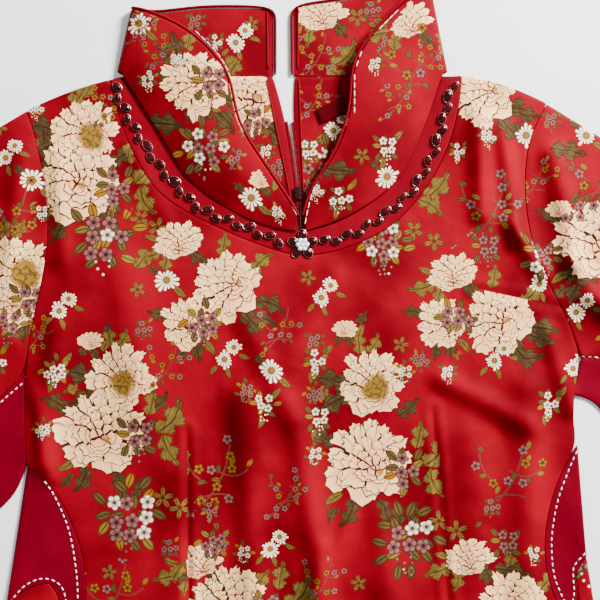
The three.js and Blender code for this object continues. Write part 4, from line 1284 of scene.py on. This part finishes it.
def stone_string(side):
    tree = surface_of("neck_band", "front")
    chooser = random.Random(f"{RANDOM_SEED} {side}")
    bm = bmesh.new()
    for i, (spot, direction) in enumerate(curve_points(CHAINS[side], STONE["pitch"])):
        way = 1 if i % 2 == 0 else -1
        big = (BIGGER if i % 4 == 2 else 1.0) * chooser.uniform(SMALLEST, 1.0)
        spot = spot + Vector((-direction.y, direction.x)) * (way * STONE["sway"])
        turn = way * STONE["turn"] + chooser.uniform(-TURN_SPREAD, TURN_SPREAD)
        height, normal = on_surface(tree, spot)
        matrix = facing(spot, height + STONE_LIFT, Matrix.Rotation(turn, 2) @ direction, normal)
        set_stone(bm, matrix, STONE["length"] * big, STONE["width"] * big, STONE["high"])
    link_stones(f"stones_{side}_set", bm, [GARNET, RIM], "garnet", f"stones_{side}")


for side in ("left", "right"):
    stone_string(side)


FLOWER_UP_MM = -127.5
PETALS = {"number": 5, "out": 0.0074, "length": 0.0084, "width": 0.0066, "high": 0.0021}
HEART = {"number": 6, "out": 0.0033, "up": 0.0016, "across": 0.0034, "high": 0.0019, "setting": 0.0036}
SETTING_RADIUS = 0.47
SETTING_THICK = 0.06


def stone_flower():
    """Seven clear stones over five garnet petals."""
    tree = surface_of("neck_band", "front")
    middle = place(FLOWER_RIGHT / MM, FLOWER_UP_MM)
    height, _ = on_surface(tree, middle)
    base = facing(middle, height + STONE_LIFT, Vector((1, 0)), UP)
    bm = bmesh.new()
    for i in range(PETALS["number"]):
        turn = Matrix.Rotation(math.pi / 2 + i * TAU / PETALS["number"], 4, "Z")
        petal = base @ turn @ Matrix.Translation((PETALS["out"], 0, 0))
        set_stone(bm, petal, PETALS["length"], PETALS["width"], PETALS["high"])
    angles = [i * TAU / HEART["number"] for i in range(HEART["number"])]
    around = [(HEART["out"] * math.cos(angle), HEART["out"] * math.sin(angle)) for angle in angles]
    for x, y in [(0.0, 0.0), *around]:
        seat = base @ Matrix.Translation((x, y, HEART["up"]))
        cut_stone(bm, seat @ Matrix.Diagonal((HEART["across"], HEART["across"], HEART["high"], 1)), 2)
        ring = seat @ Matrix.Diagonal((HEART["setting"],) * 3 + (1,)) @ Matrix.Translation((0, 0, 0.1))
        rim(bm, ring, SETTING_RADIUS, SETTING_THICK, 3, 14)
    link_stones("flower_set", bm, [GARNET, RIM, PEARL, SILVER], "pearl", "flower")


stone_flower()

# ---------------------------------------------------------------- zip and tab
for node, material in (("zip_left", ZIP), ("zip_right", ZIP), ("zip_slider", DARK_METAL)):
    bm = bmesh_of(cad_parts[node].data)
    bmesh.ops.remove_doubles(bm, verts=bm.verts, dist=1e-6)
    link(node + "_tape", mesh_of(bm, node + "_fine"), [material], "zip_grey", node)

TAB_BOW_MM = 9.0
TAB_DROP_MM = 1.9
mesh = refined("neck_tab", 2, hold=0.85)
tab_low, tab_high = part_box("neck_tab")
for vertex in mesh.vertices:
    share = (vertex.co.x - tab_low[0]) / (tab_high[0] - tab_low[0])
    vertex.co.y += (TAB_BOW_MM * share * (1 - share) - TAB_DROP_MM * share) * MM
link("neck_tab_cloth", smooth_shaded(mesh), [WINE_CLOTH], "crimson", "neck_tab")

# ---------------------------------------------------------------- floor, light and camera
FLOOR_SIZE = 6.0
bm = bmesh.new()
bmesh.ops.create_grid(bm, x_segments=8, y_segments=8, size=FLOOR_SIZE / 2)
floor_mesh = mesh_of(bm, "floor")
floor_mesh.materials.append(floor_finish())
floor = bpy.data.objects.new("floor", floor_mesh)
bpy.context.scene.collection.objects.link(floor)

LIGHTS = named_rows(("name", "spot", "size", "power"), [
    ("window", (1.25, 1.45, 0.90), 0.6, 205),
    ("fill", (-1.6, -0.2, 1.8), 1.8, 9),
])
LIT = (0, 0.2, 0)  # what the lights point at
SKY_STRENGTH = 0.50


def area_light(name, spot, size, power):
    data = bpy.data.lights.new(name, "AREA")
    data.shape = "DISK"
    data.size = size
    data.energy = power
    lamp = bpy.data.objects.new(name, data)
    lamp.location = spot
    lamp.rotation_euler = (Vector(LIT) - Vector(spot)).to_track_quat("-Z", "Y").to_euler()
    bpy.context.scene.collection.objects.link(lamp)


for row in LIGHTS:
    area_light(**row)

world = bpy.data.worlds.new("studio")
world.use_nodes = True
world.node_tree.nodes["Background"].inputs["Color"].default_value = (1, 1, 1, 1)
world.node_tree.nodes["Background"].inputs["Strength"].default_value = SKY_STRENGTH
bpy.context.scene.world = world

VIEW_MIDDLE = place(2.2, -168.8)
VIEW_WIDTH = 0.450  # what the picture takes in across, at the cloth
CAMERA_HEIGHT = 0.78
CAMERA_SENSOR_MM = 36.0
camera_data = bpy.data.cameras.new("camera")
camera_data.sensor_width = CAMERA_SENSOR_MM
camera_data.lens = CAMERA_SENSOR_MM * CAMERA_HEIGHT / VIEW_WIDTH
camera = bpy.data.objects.new("camera", camera_data)
camera.location = (VIEW_MIDDLE.x, VIEW_MIDDLE.y, CAMERA_HEIGHT)
bpy.context.scene.collection.objects.link(camera)
bpy.context.scene.camera = camera
